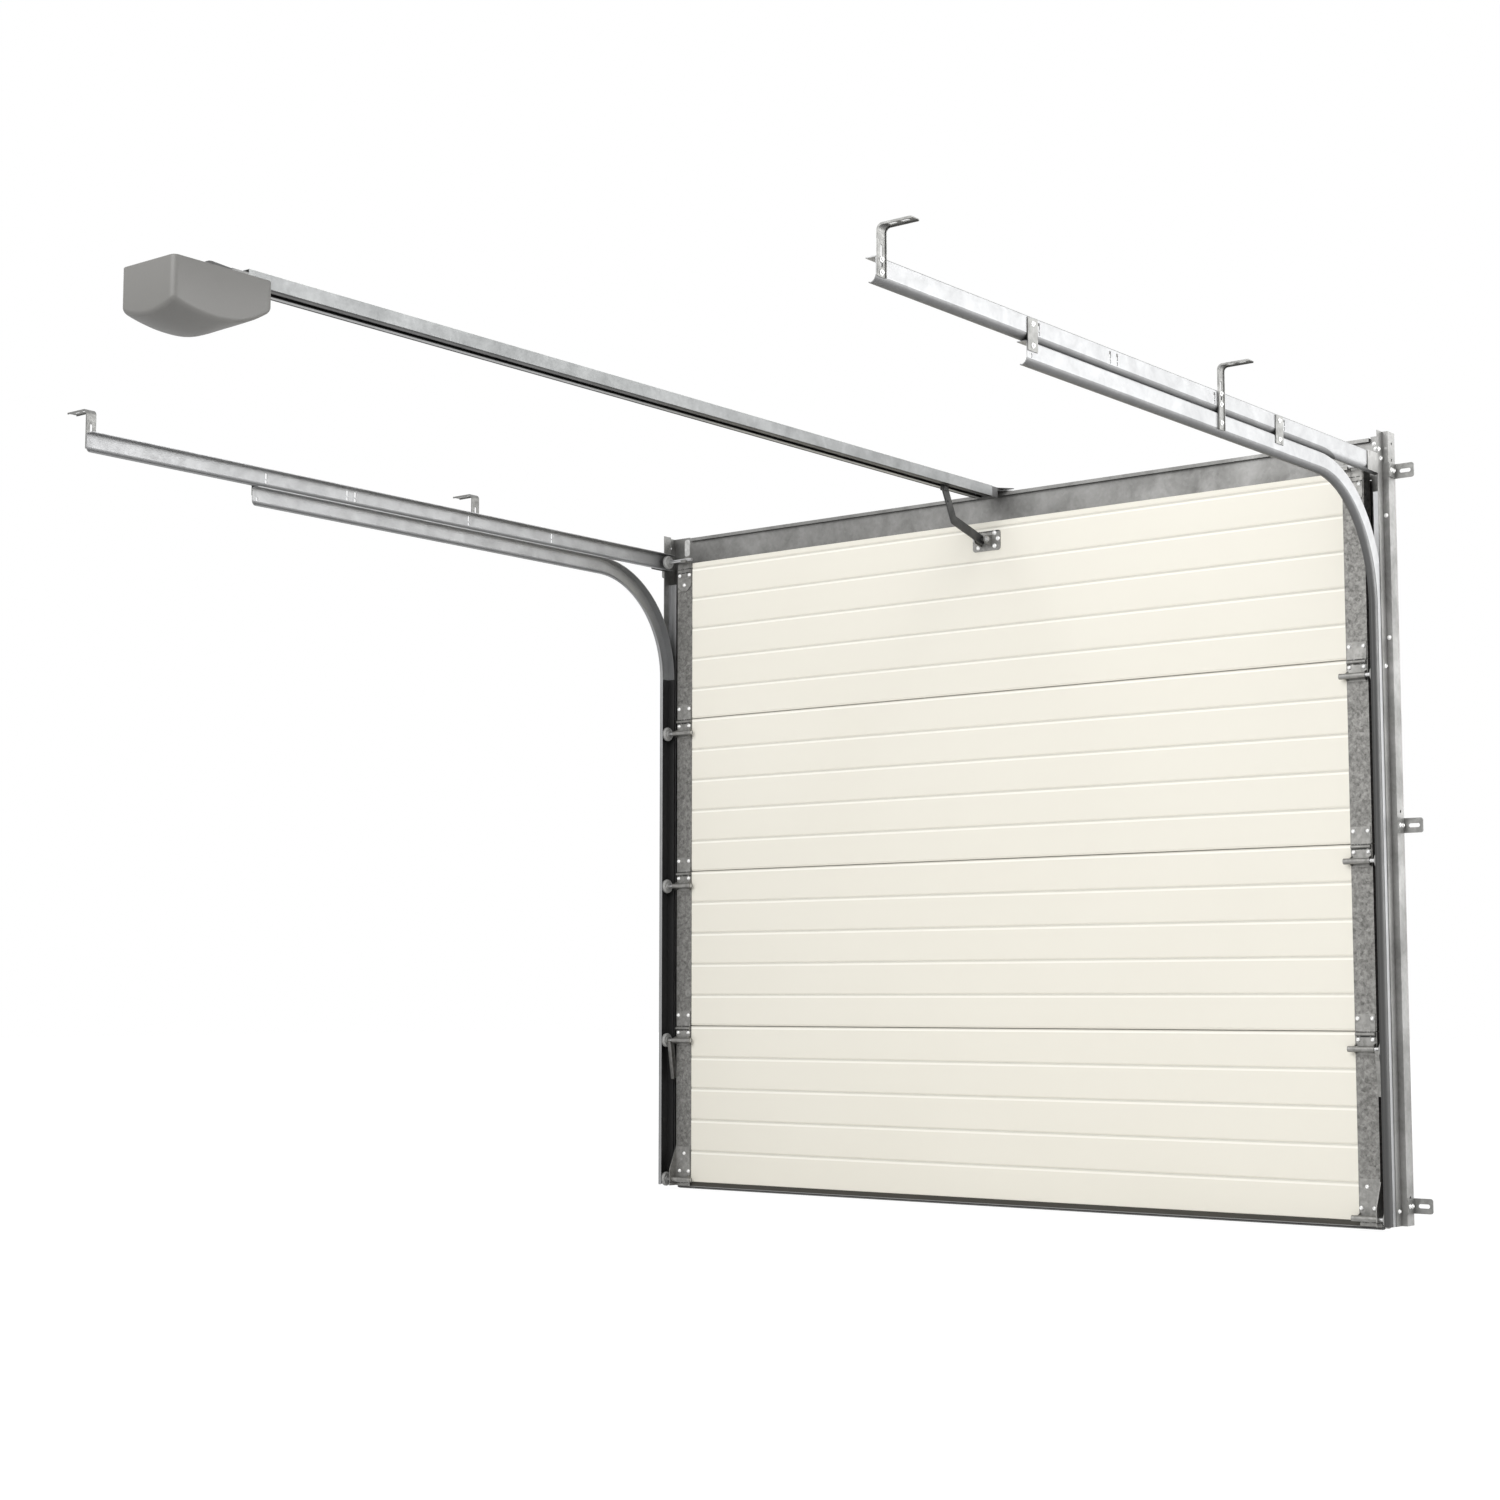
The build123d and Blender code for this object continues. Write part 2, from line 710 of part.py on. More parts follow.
def rail_cut():
    """Everything in front of the slanted joint in the rail."""
    rear = -rail_joint
    face = outline((rear - rail_joint_slant, rail_top + 1), (rear, rail_bottom - 1), (0, rail_bottom - 1),
                   (0, rail_top + 1))
    return along_x(face, -rail_width, rail_width)


def opener_rail_front():
    """Front length of the rail."""
    return rail_run(rail_front, rail_joint + rail_joint_slant) & rail_cut()


def opener_rail_rear():
    """Rear length of the rail."""
    return rail_run(rail_joint, rail_rear) - rail_cut()


def rail_end_cap():
    """Closed end piece between the rail and the bracket on the lintel."""
    half = rail_half - end_cap_inset
    return box(-half, half, -rail_front, -rail_front + end_cap_length, rail_bottom, rail_top)


def header_bracket():
    """Fork between the rail's end cap and the wall: two level plates joined by two webs."""
    half = rail_half - end_cap_inset
    rear = -rail_front + end_cap_length
    t = header_plate
    plate = outline((-half, rear), (half, rear), (header_wall_half, 0), (-header_wall_half, 0))
    low = lintel_top + seat
    body = along_z(plate, low, low + t) + along_z(plate, rail_top - t, rail_top)
    for x in (-half, half - t):
        body += box(x, x + t, rear, rear + header_web, low, rail_top)
    return body


def trolley():
    """Block that slides in the rail, with two cheeks through the slot that hold the arm."""
    y, z = arm_points[0]
    half = rail_half - rail_wall - 3
    block = box(-half, half, y - trolley_length / 2, y + trolley_length / 2,
                rail_bottom + rail_lip + 1, rail_top - rail_wall)
    inner = arm_thickness / 2 + seat
    low = z - arm_pin_diameter
    for x in (-inner - trolley_cheek, inner):
        block += box(x, x + trolley_cheek, y - trolley_tongue / 2, y + trolley_tongue / 2,
                     low, rail_bottom + rail_lip + 1)
    block -= box(-inner, inner, y - arm_width, y + arm_width, low, z + arm_width / 2 + 2)
    return block - rod(-rail_half, rail_half, y, z, arm_pin_diameter)


def opener_arm():
    """Flat bent bar from the trolley to the bracket on the leaf, with its two pins."""
    bar = None
    for start, end in zip(arm_points, arm_points[1:]):
        way = Vector(end) - Vector(start)
        turn = degrees(atan2(way.Y, way.X))
        middle = Vector(start) + way * 0.5
        piece = Pos(middle.X, middle.Y) * Rot(0, 0, turn) * SlotCenterToCenter(way.length, arm_width)
        bar = piece if bar is None else bar + piece
    body = along_x(bar, -arm_thickness / 2, arm_thickness / 2)
    foot, _, pivot = arm_points
    forward, down, hole = arm_hole
    body -= rod(-arm_width, arm_width, foot[0] + forward, foot[1] - down, hole)
    foot_pin = arm_thickness / 2 + seat + trolley_cheek
    lug_pin = door_lug_gap / 2 + 2 * door_plate_thickness
    body += rod(-foot_pin, foot_pin, *foot, arm_pin_diameter)
    return body + rod(-lug_pin, lug_pin, *pivot, arm_pin_diameter)


def door_bracket():
    """Plate on the top section with two lugs for the arm's pin."""
    y, z = arm_points[-1]
    plate = Plane.XZ * Pos(0, z) * RectangleRounded(*door_plate)
    t = door_plate_thickness
    body = Pos(0, inner_face, 0) * extrude(plate, t)
    root = 1.7 * arm_pin_diameter
    tip = 1.2 * arm_pin_diameter
    lug = outline((inner_face - t, z - root), (y, z - tip), ((y - tip, z), (y, z + tip)),
                  (inner_face - t, z + root))
    for x in (-door_lug_gap / 2 - t, door_lug_gap / 2):
        body += along_x(lug, x, x + t)
    return body - rod(-door_lug_gap, door_lug_gap, y, z, arm_pin_diameter)


def opener_head():
    """Motor housing under the rail: sides of changing height and a domed belly, lofted together."""
    half = head_width / 2
    stations = []
    for from_rear, side_drop, middle_drop in head_stations:
        side = rail_bottom - side_drop
        face = outline((-half, rail_bottom), (half, rail_bottom), (half, side),
                       ((0, rail_bottom - middle_drop), (-half, side)))
        stations.append(Pos(0, -head_rear + from_rear, 0) * (Plane.XZ * face))
    plan = Pos(0, -head_rear + head_length / 2) * RectangleRounded(head_width, head_length, head_corner)
    deepest = max(station[2] for station in head_stations)
    return loft(stations) & along_z(plan, rail_bottom - 2 * deepest, rail_bottom)


def rail_coupling():
    """Block on the rail's rear end with a thin strap that runs on to the motor housing."""
    rear = -rail_rear - coupling_length
    block = box(-rail_half, rail_half, rear, -rail_rear, rail_bottom, rail_top - coupling_drop)
    middle = rail_bottom + rail_height / 2
    tail = box(-rail_half, rail_half, rear - strap_tail, rear, rail_bottom, middle)
    return block + tail


def both_sides(shapes):
    """Like pieces of the right side and their mirror images, which share a node."""
    right = [solid for shape in shapes for solid in shape.solids()]
    return Compound(children=right + [mirrored(solid) for solid in right])


def nodes():
    """Every node's name and shape."""
    made = {}
    for name, shape in (("post", post()), ("vertical_track", vertical_track()),
                        ("lower_track", lower_track()), ("upper_track", upper_track())):
        made["right_" + name] = shape
        made["left_" + name] = mirrored(shape)
    made["track_angles"] = both_sides([track_angle()])
    made["corner_plates"] = both_sides([corner_plate()])
    made["side_seals"] = both_sides([side_seal()])
    made["wall_brackets"] = both_sides(wall_bracket(z) for z in wall_bracket_heights)
    made["ceiling_hangers"] = both_sides(ceiling_hanger(*place) for place in hanger_places)
    made["track_straps"] = both_sides(track_strap(place) for place in strap_places)
    made["end_caps"] = both_sides(end_cap(i) for i in range(section_count))
    made["hinges"] = both_sides(hinge(z) for z in seams)
    made["rollers"] = both_sides(roller_wheel(z) for z in roller_heights())
    made["top_rollers"] = both_sides([roller_wheel(top_roller_height)])
    made["roller_shafts"] = both_sides(
        roller_shaft(z) for z in roller_heights() + [top_roller_height])
    made["top_brackets"] = both_sides([top_bracket()])
    made["bottom_brackets"] = both_sides([bottom_bracket()])
    made["levers"] = both_sides([lever()])
    made["lintel"] = lintel()
    made["top_seal"] = top_seal()
    for i in range(section_count):
        made["section_%d" % (i + 1)] = section(i)
    made["bottom_profile"] = bottom_profile()
    made["bottom_seal"] = bottom_seal()
    made["door_bracket"] = door_bracket()
    made["opener_arm"] = opener_arm()
    made["trolley"] = trolley()
    made["opener_rail_front"] = opener_rail_front()
    made["opener_rail_rear"] = opener_rail_rear()
    made["rail_end_cap"] = rail_end_cap()
    made["header_bracket"] = header_bracket()
    made["rail_coupling"] = rail_coupling()
    made["opener_head"] = opener_head()
    return made


os.makedirs("parts", exist_ok=True)
for name, shape in nodes().items():
    export_step(Pos(0, 0, -lintel_middle) * shape, "parts/%s.step" % name)
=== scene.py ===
"""Looks of the sectional garage door: camera, light, finishes, the pieces that take the place of plainer
solids, and the fasteners."""
import json
import math

import bpy
import numpy as np
from mathutils import Matrix, Vector


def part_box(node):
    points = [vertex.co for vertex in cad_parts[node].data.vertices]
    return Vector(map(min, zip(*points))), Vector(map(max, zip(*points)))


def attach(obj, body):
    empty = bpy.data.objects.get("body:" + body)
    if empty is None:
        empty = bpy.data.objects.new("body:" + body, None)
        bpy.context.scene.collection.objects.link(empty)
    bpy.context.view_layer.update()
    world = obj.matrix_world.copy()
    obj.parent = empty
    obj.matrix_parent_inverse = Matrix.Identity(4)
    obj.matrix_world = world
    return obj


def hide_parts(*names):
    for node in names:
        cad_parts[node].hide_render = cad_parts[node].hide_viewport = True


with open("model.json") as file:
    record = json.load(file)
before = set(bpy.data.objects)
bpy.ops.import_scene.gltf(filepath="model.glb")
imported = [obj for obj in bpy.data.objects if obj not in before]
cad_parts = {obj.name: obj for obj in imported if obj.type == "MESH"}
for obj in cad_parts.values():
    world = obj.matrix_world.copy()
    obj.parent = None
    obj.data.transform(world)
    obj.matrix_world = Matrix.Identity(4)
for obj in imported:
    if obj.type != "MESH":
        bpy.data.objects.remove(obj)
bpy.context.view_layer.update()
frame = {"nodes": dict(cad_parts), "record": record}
NODES = frame["nodes"]

# Places in metres, read from the frame or repeated from its driving sizes. DATUM is the leaf's foot.
SEAM_GAP = 0.0026
SECTION_HEIGHT = 0.5
STRIP = 0.1
GROOVE_HALF = 0.005
GROOVE_DEPTH = 0.0026
TOP_GROOVE = 1.999
LEAF_TOP = 2.0165
CAP_THICKNESS = 0.0015
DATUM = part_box("section_1")[0].z - SEAM_GAP / 2
LEAF_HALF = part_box("end_caps")[1].x
CAP_INNER_LEG = 0.062
PLATE_THICKNESS = 0.0025
LEAF_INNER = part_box("section_1")[0].y
LEAF_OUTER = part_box("section_1")[1].y
CAP_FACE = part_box("end_caps")[0].y
PLATE_FACE = CAP_FACE - PLATE_THICKNESS
TRACK_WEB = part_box("right_upper_track")[1].x
UPPER_TRACK_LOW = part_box("right_upper_track")[0].z
TRACK_PITCH = 0.0543
TRACK_ROLL = 0.0155
BEND_RADIUS = 0.308
BEND_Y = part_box("right_vertical_track")[0].y - BEND_RADIUS
BEND_Z = UPPER_TRACK_LOW - TRACK_PITCH - BEND_RADIUS
POST_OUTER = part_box("right_post")[1].x
POST_FRONT = -0.043
WALL_FLANGE = -0.002
STRAP_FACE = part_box("track_straps")[1].x
HANGER_FACE = TRACK_WEB + 0.002
LEG_FACE = HANGER_FACE
LEG_BOLT_Y = -0.057
BRACKET_FACE = POST_OUTER + PLATE_THICKNESS
HINGE_MIDDLE = LEAF_HALF - 0.031
BRACKET_HALF = 0.028
RAIL_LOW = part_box("opener_rail_rear")[0].z
RAIL_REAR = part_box("opener_rail_rear")[0].y
RAIL_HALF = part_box("opener_rail_rear")[1].x
HEAD_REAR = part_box("opener_head")[0].y
HEAD_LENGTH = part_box("opener_head")[1].y - HEAD_REAR
ROLLER_Y = (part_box("top_rollers")[0].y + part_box("top_rollers")[1].y) / 2
TOP_AXLE = (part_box("top_rollers")[0].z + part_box("top_rollers")[1].z) / 2 - DATUM
SLIDE_X = (LEAF_HALF - 0.055, LEAF_HALF - 0.034)
LEVER_WIDTH = 0.0125
LEVER_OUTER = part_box("levers")[1].x
LEVER_AXLE_DROP = 0.047
LEVER_LEAN = math.radians(9.0)
COUPLING_LENGTH = 0.045
COUPLING_HEIGHT = 0.024
MOTOR_STRAP_LENGTH = 0.077
ARM_PIN_END = 0.0192
ARM_PIVOT = (-0.092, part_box("door_bracket")[0].z + 0.03)

# Camera, found by fitting the photograph's edges
CAMERA_PLACE = Vector((4.0915, -6.3653, DATUM + 0.5829))
CAMERA_YAW = 0.6707
CAMERA_PITCH = 0.0990
CAMERA_LENS = 60.41
SENSOR_WIDTH = 36.0
VIEW_DEPTH = 100.0

# Light: each lamp's place, target, size and power
WORLD_STRENGTH = 0.33
FLOOR_SHADOW_SHARE = 0.15
FLOOR_GLOW = 1.12
FLOOR_SHADOW_REACH = 3.0
FLOOR_HALF = 30.0
FLOOR_CLEARANCE = 0.004
LAMPS = {
    "front_lamp": ((0.7, -6.5, 2.2), (-0.4, -0.2, -1.1), (5.0, 5.0), 350.0),
    "rear_right_lamp": ((6.2, 4.2, 0.6), (1.0, -1.0, -0.3), (7.0, 5.0), 270.0),
    "right_lamp": ((7.0, 0.4, 0.3), (0.3, -1.9, -0.1), (2.5, 2.5), 270.0),
}

# Bands of painted shade and painted highlight: middle height from a groove, a seam or the leaf's foot, and
# half the width
GROOVE_SHADE = (-0.001, 0.0026)
GROOVE_HIGHLIGHT = (-0.0078, 0.0025)
# Painted shade in a hinge's gaps, by height from the seam
KNUCKLE_SHADE = ((-0.0143, 0.0018), (-0.0018, 0.0013))
# Painted highlights along the bottom seal's ribs, by height from the leaf's foot
SEAL_RIB_HIGHLIGHTS = ((-0.0135, 0.0013), (-0.0192, 0.001))


class Term:
    """A shader value that adds Math nodes when it is used in an expression."""

    def __init__(self, maker, socket):
        self.maker = maker
        self.socket = socket

    def _math(self, operation, *values):
        return self.maker.node("ShaderNodeMath", {"operation": operation}, list(values))

    def __add__(self, other):
        return self._math("ADD", self, other)

    def __radd__(self, other):
        return self._math("ADD", other, self)

    def __sub__(self, other):
        return self._math("SUBTRACT", self, other)

    def __rsub__(self, other):
        return self._math("SUBTRACT", other, self)

    def __mul__(self, other):
        return self._math("MULTIPLY", self, other)

    def __rmul__(self, other):
        return self._math("MULTIPLY", other, self)

    def __truediv__(self, other):
        return self._math("DIVIDE", self, other)

    def __gt__(self, other):
        return self._math("GREATER_THAN", self, other)

    def __lt__(self, other):
        return self._math("LESS_THAN", self, other)

    def at_least(self, floor):
        return self._math("MAXIMUM", self, floor)

    def clamp(self):
        return self._math("MINIMUM", self.at_least(0.0), 1.0)

    def in_band(self, band):
        """1 where the value lies within a band of a middle and half a width, and 0 elsewhere."""
        middle, half_width = band
        return (self - middle).absolute() < half_width

    def absolute(self):
        return self._math("ABSOLUTE", self)

    def power(self, exponent):
        return self._math("POWER", self, exponent)

    def fraction(self):
        return self._math("FRACT", self)


class Finish:
    """One procedural material or world, written as expressions on its node tree."""

    def __init__(self, name, world=None):
        self.material = world or bpy.data.materials.new(name)
        self.material.use_nodes = True
        self.tree = self.material.node_tree
        self.tree.nodes.clear()
        self.place = None if world else self.node("ShaderNodeTexCoord", {}, [], out="Object")

    def node(self, kind, settings, values, out=0):
        """Adds a node: its settings first, then the values or links of its sockets."""
        made = self.tree.nodes.new(kind)
        for key, value in settings.items():
            setattr(made, key, value)
        pairs = values.items() if isinstance(values, dict) else enumerate(values)
        for key, value in pairs:
            if isinstance(value, Term):
                self.tree.links.new(value.socket, made.inputs[key])
            elif value is not None:
                made.inputs[key].default_value = value
        return Term(self, made.outputs[out])

    def stretched(self, scale):
        """Object coordinates scaled along each axis."""
        return self.node("ShaderNodeMapping", {}, {"Vector": self.place, "Scale": scale})

    def noise(self, scale, detail=3.0, roughness=0.5, vector=None, distortion=0.0):
        values = {"Vector": vector or self.place, "Scale": scale, "Detail": detail,
                  "Roughness": roughness, "Distortion": distortion}
        return self.node("ShaderNodeTexNoise", {}, values)

    def cells(self, scale):
        """One random colour for each Voronoi cell."""
        values = {"Vector": self.place, "Scale": scale}
        return self.node("ShaderNodeTexVoronoi", {"feature": "F1"}, values, out="Color")

    def blend(self, factor, first, second):
        """Mixes two colours. The Mix node has its factor at input 0 and its colours at 6 and 7."""
        mixed = self.tree.nodes.new("ShaderNodeMix")
        mixed.data_type = "RGBA"
        for index, value in ((0, factor), (6, first), (7, second)):
            if isinstance(value, Term):
                self.tree.links.new(value.socket, mixed.inputs[index])
            elif index == 0:
                mixed.inputs[index].default_value = value
            else:
                mixed.inputs[index].default_value = (*value, 1.0)
        return Term(self, mixed.outputs[2])

    def axis(self, which):
        return self.node("ShaderNodeSeparateXYZ", {}, [self.place], out=which)

    def bump(self, height, strength, distance):
        values = {"Height": height, "Strength": strength, "Distance": distance}
        return self.node("ShaderNodeBump", {}, values)

    def first_channel(self, colour):
        return self.node("ShaderNodeSeparateColor", {}, [colour])

    def surface(self, **values):
        """Closes the material with a Principled BSDF."""
        sockets = {key.replace("_", " "): value for key, value in values.items()}
        self.close(self.node("ShaderNodeBsdfPrincipled", {}, sockets))
        return self.material

    def close(self, shader, kind="ShaderNodeOutputMaterial"):
        """Links a shader to the tree's output."""
        output = self.tree.nodes.new(kind)
        self.tree.links.new(shader.socket, output.inputs[0])


# Finishes

def zinc_tone(f, patch_scale, spangle_share, stretch):
    """Cloudy patches, fine mottling and crystals of spangle, from 0 to 1, longer along the stretch."""
    place = f.stretched(stretch)
    cloud = f.noise(patch_scale, 4.0, 0.55, vector=place, distortion=0.6)
    fine = f.noise(patch_scale * 7, 3.0, 0.6)
    spangle = f.first_channel(f.cells(110.0))
    cloudy = (cloud * 2.6 - 0.8).clamp()
    return (cloudy * (0.8 - spangle_share) + fine * 0.2 + spangle * spangle_share).clamp()


def zinc_surface(f, colour, tone, rough):
    """Closes a zinc finish: the darker its tone, the duller, with a very fine grain."""
    return f.surface(Base_Color=colour, Metallic=0.9, Roughness=(rough + 0.16 * (1 - tone)).clamp(),
                     Normal=f.bump(f.noise(900.0, 2.0), 0.1, 0.0004))


def galvanised(name, light, dark, patch_scale=14.0, rough=0.42, spangle_share=0.18, stretch=(1, 1, 1)):
    """Zinc-coated steel: soft cloudy patches, fine mottling and small crystals of spangle."""
    f = Finish(name)
    tone = zinc_tone(f, patch_scale, spangle_share, stretch)
    return zinc_surface(f, f.blend(tone, dark, light), tone, rough)


def hinge_zinc():
    """Zinc-plated hinge and bracket steel, with painted shade in the gaps above and below each knuckle."""
    f = Finish("zinc_hardware")
    tone = zinc_tone(f, 60.0, 0.3, (1, 1, 1))
    colour = f.blend(tone, (0.17, 0.168, 0.16), (0.35, 0.345, 0.33))
    height = f.axis("Z") - DATUM
    from_seam = ((height / SECTION_HEIGHT + 0.5).fraction() - 0.5) * SECTION_HEIGHT
    # Painted shade in the gaps above and below each knuckle, ragged at its edge
    below, above = (from_seam.in_band(gap) for gap in KNUCKLE_SHADE)
    ragged_shade = f.noise(160.0, 1.0) > 0.42
    colour = f.blend((below + above).clamp() * ragged_shade * 0.85, colour, (0.02, 0.02, 0.02))
    return zinc_surface(f, colour, tone, 0.42)


def track_zinc():
    """Zinc-coated track: pale webs and painted shade on the curled edge, found by how far a point lies
    from the bend's centre line, which the level and the upright lengths carry on. The painted shade is
    darker on the right and down the uprights. The left upright has painted shade within its hollow."""
    f = Finish("galvanised_track")
    tone = zinc_tone(f, 16.0, 0.15, (1, 1, 1))
    colour = f.blend(tone, (0.29, 0.292, 0.295), (0.345, 0.348, 0.352))
    out = (f.axis("Y") - BEND_Y).at_least(0.0)
    up = (f.axis("Z") - BEND_Z).at_least(0.0)
    from_roll = (out * out + up * up).power(0.5) - BEND_RADIUS
    upper_roll_shade = (from_roll > TRACK_PITCH) * (from_roll < TRACK_PITCH + TRACK_ROLL)
    roll_shade = ((from_roll < TRACK_ROLL) + upper_roll_shade).clamp()
    right = f.axis("X") > 0.0
    upright = ((BEND_Z + BEND_RADIUS - f.axis("Z")) / BEND_RADIUS).clamp()
    # Painted shade on the curled edges, darker on the right and down the uprights
    colour = f.blend(roll_shade * (0.2 + right * (0.4 + 0.32 * upright)), colour, (0.05, 0.05, 0.049))
    wall = 0.001
    within = f.axis("X").absolute() < TRACK_WEB - wall
    channel_shade = (from_roll > TRACK_ROLL) * (from_roll < TRACK_PITCH - wall)
    channel_shade = channel_shade + (from_roll > TRACK_PITCH + TRACK_ROLL) * (from_roll < 2 * TRACK_PITCH - wall)
    on_upright = (f.axis("Z") < BEND_Z) * (1 - right)
    # Painted shade within the left upright's hollow
    colour = f.blend((within * channel_shade).clamp() * on_upright * 0.85, colour, (0.04, 0.04, 0.039))
    return zinc_surface(f, colour, tone, 0.38)


def rail_zinc():
    """Zinc-coated rail: pale sides, painted shade within so the slot along the underside looks black,
    painted shade on the rim right of the slot and darker beyond it, and a painted highlight on the rim left
    of it.
    """
    f = Finish("rail_steel")
    tone = zinc_tone(f, 13.0, 0.18, (1, 1, 1))
    colour = f.blend(tone, (0.185, 0.19, 0.19), (0.25, 0.255, 0.255))
    x = f.axis("X")
    skin, wall, inside_height = 0.0005, 0.001, 0.0305
    slot_half, shaded_lip_end, lit_lip_end = 0.012, 0.022, 0.024
    under = f.axis("Z") < RAIL_LOW + skin
    hollow_shade = (x.absolute() < RAIL_HALF - wall) * (f.axis("Z") < RAIL_LOW + inside_height)
    # Painted shade within the rail, so the slot looks black
    colour = f.blend(hollow_shade, colour, (0.012, 0.012, 0.012))
    # Painted shade on the underside right of the slot, darker beyond the rim, and a painted highlight on the
    # rim left of it
    colour = f.blend(under * (x > slot_half), colour, (0.11, 0.11, 0.108))
    colour = f.blend(under * (x > shaded_lip_end), colour, (0.03, 0.03, 0.03))
    colour = f.blend(under * (x < -slot_half) * (x > -lit_lip_end), colour, (0.42, 0.425, 0.425))
    return zinc_surface(f, colour, tone, 0.4)


def cream_paint():
    """Cream coated steel: fine orange peel, faint large waves, and each groove and seam with painted shade
    on its upper slope and a painted highlight on its lower rim."""
    f = Finish("cream_steel")
    wave = f.noise(2.2, 2.0)
    peel = f.noise(420.0, 2.0)
    colour = f.blend(wave, (0.835, 0.805, 0.715), (0.86, 0.832, 0.745))
    height = f.axis("Z") - DATUM
    from_groove = ((height / STRIP + 0.5).fraction() - 0.5) * STRIP
    from_top_groove = height - TOP_GROOVE
    on_leaf = height < TOP_GROOVE - 2 * GROOVE_HALF
    groove_shade, groove_highlight = (from_groove.in_band(band) * on_leaf + from_top_groove.in_band(band)
                 for band in (GROOVE_SHADE, GROOVE_HIGHLIGHT))
    # Painted shade on each groove's upper slope, then a painted highlight on its lower rim
    colour = f.blend(groove_shade * 0.3, colour, (0.3, 0.295, 0.28))
    colour = f.blend(groove_highlight, colour, (0.99, 0.965, 0.885))
    return f.surface(Base_Color=colour, Roughness=0.45 + 0.08 * wave, Normal=f.bump(peel, 0.05, 0.0005))


def rubber():
    """Black rubber with a little grey dust and a painted highlight along each rib of the bottom seal."""
    f = Finish("black_rubber")
    grain = f.noise(600.0, 2.0)
    dust = f.noise(9.0, 4.0)
    colour = f.blend(dust, (0.012, 0.012, 0.011), (0.03, 0.029, 0.027))
    height = f.axis("Z") - DATUM
    rib_highlights = height.in_band(SEAL_RIB_HIGHLIGHTS[0]) + height.in_band(SEAL_RIB_HIGHLIGHTS[1])
    # Painted highlight along each rib of the bottom seal
    colour = f.blend(rib_highlights * 0.5, colour, (0.42, 0.42, 0.41))
    return f.surface(Base_Color=colour, Roughness=0.55 + 0.12 * grain, Normal=f.bump(grain, 0.15, 0.0004))


def dark_paint():
    """Dark coated bar with paler wear where the coat is thin."""
    f = Finish("dark_steel")
    cloud = f.noise(26.0, 4.0)
    colour = f.blend((cloud * 1.8 - 0.4).clamp(), (0.03, 0.03, 0.03), (0.085, 0.085, 0.083))
    return f.surface(Base_Color=colour, Metallic=0.4, Roughness=0.42 + 0.2 * cloud,
                     Normal=f.bump(f.noise(700.0, 2.0), 0.08, 0.0004))


def moulded(name, low, high, rough, speckle=900.0):
    """Moulded plastic with a fine spark-eroded grain."""
    f = Finish(name)
    grain = f.noise(speckle, 3.0, 0.7)
    cloud = f.noise(5.0, 2.0)
    colour = f.blend((grain * 0.6 + cloud * 0.4).clamp(), low, high)
    return f.surface(Base_Color=colour, Roughness=rough, Normal=f.bump(grain, 0.25, 0.0006))


def drawn_metal(name, low, high, rough):
    """Drawn or turned metal with fine streaks along X."""
    f = Finish(name)
    streak = f.noise(60.0, 3.0, vector=f.stretched((0.3, 6.0, 6.0)))
    colour = f.blend(streak, low, high)
    return f.surface(Base_Color=colour, Metallic=0.85, Roughness=rough + 0.15 * streak,
                     Normal=f.bump(streak, 0.05, 0.0003))


def zinc_screws():
    """Bright zinc-plated heads with a faint mottling."""
    f = Finish("screws")
    mottle = f.noise(300.0, 3.0)
    colour = f.blend(mottle, (0.78, 0.78, 0.77), (0.92, 0.92, 0.91))
    return f.surface(Base_Color=colour, Metallic=0.35, Roughness=0.3 + 0.15 * mottle,
                     Normal=f.bump(mottle, 0.05, 0.0002))


FINISHES = {
    "cream_steel": cream_paint(),
    "galvanised_caps": galvanised("galvanised_caps", (0.33, 0.325, 0.31), (0.085, 0.083, 0.078),
                                  120.0, 0.5, 0.3),
    "galvanised_frame": galvanised("galvanised_frame", (0.31, 0.308, 0.3), (0.14, 0.139, 0.134),
                                   9.0, 0.4, 0.14, (1.1, 1.0, 0.9)),
    "galvanised_track": track_zinc(),
    "galvanised_brackets": galvanised("galvanised_brackets", (0.31, 0.31, 0.3), (0.14, 0.14, 0.135), 34.0),
    "zinc_hardware": hinge_zinc(),
    "bright_steel": drawn_metal("bright_steel", (0.42, 0.42, 0.42), (0.62, 0.62, 0.62), 0.25),
    "roller_nylon": moulded("roller_nylon", (0.26, 0.26, 0.255), (0.38, 0.38, 0.37), 0.4),
    "black_rubber": rubber(),
    "aluminium_profile": drawn_metal("aluminium_profile", (0.045, 0.042, 0.036), (0.08, 0.076, 0.066), 0.4),
    "dark_steel": dark_paint(),
    "dark_plastic": moulded("dark_plastic", (0.015, 0.015, 0.015), (0.035, 0.035, 0.035), 0.5),
    "rail_steel": rail_zinc(),
    "coupling": galvanised("coupling", (0.2, 0.2, 0.198), (0.13, 0.13, 0.128), 30.0),
    "slide_heads": galvanised("slide_heads", (0.66, 0.66, 0.65), (0.4, 0.4, 0.39), 60.0, 0.35),
    "grey_plastic": moulded("grey_plastic", (0.07, 0.07, 0.07), (0.11, 0.11, 0.11), 0.5),
    "grey_housing": moulded("grey_housing", (0.115, 0.113, 0.107), (0.148, 0.146, 0.139), 0.5, 500.0),
}


# Pieces finished here in place of plainer solids

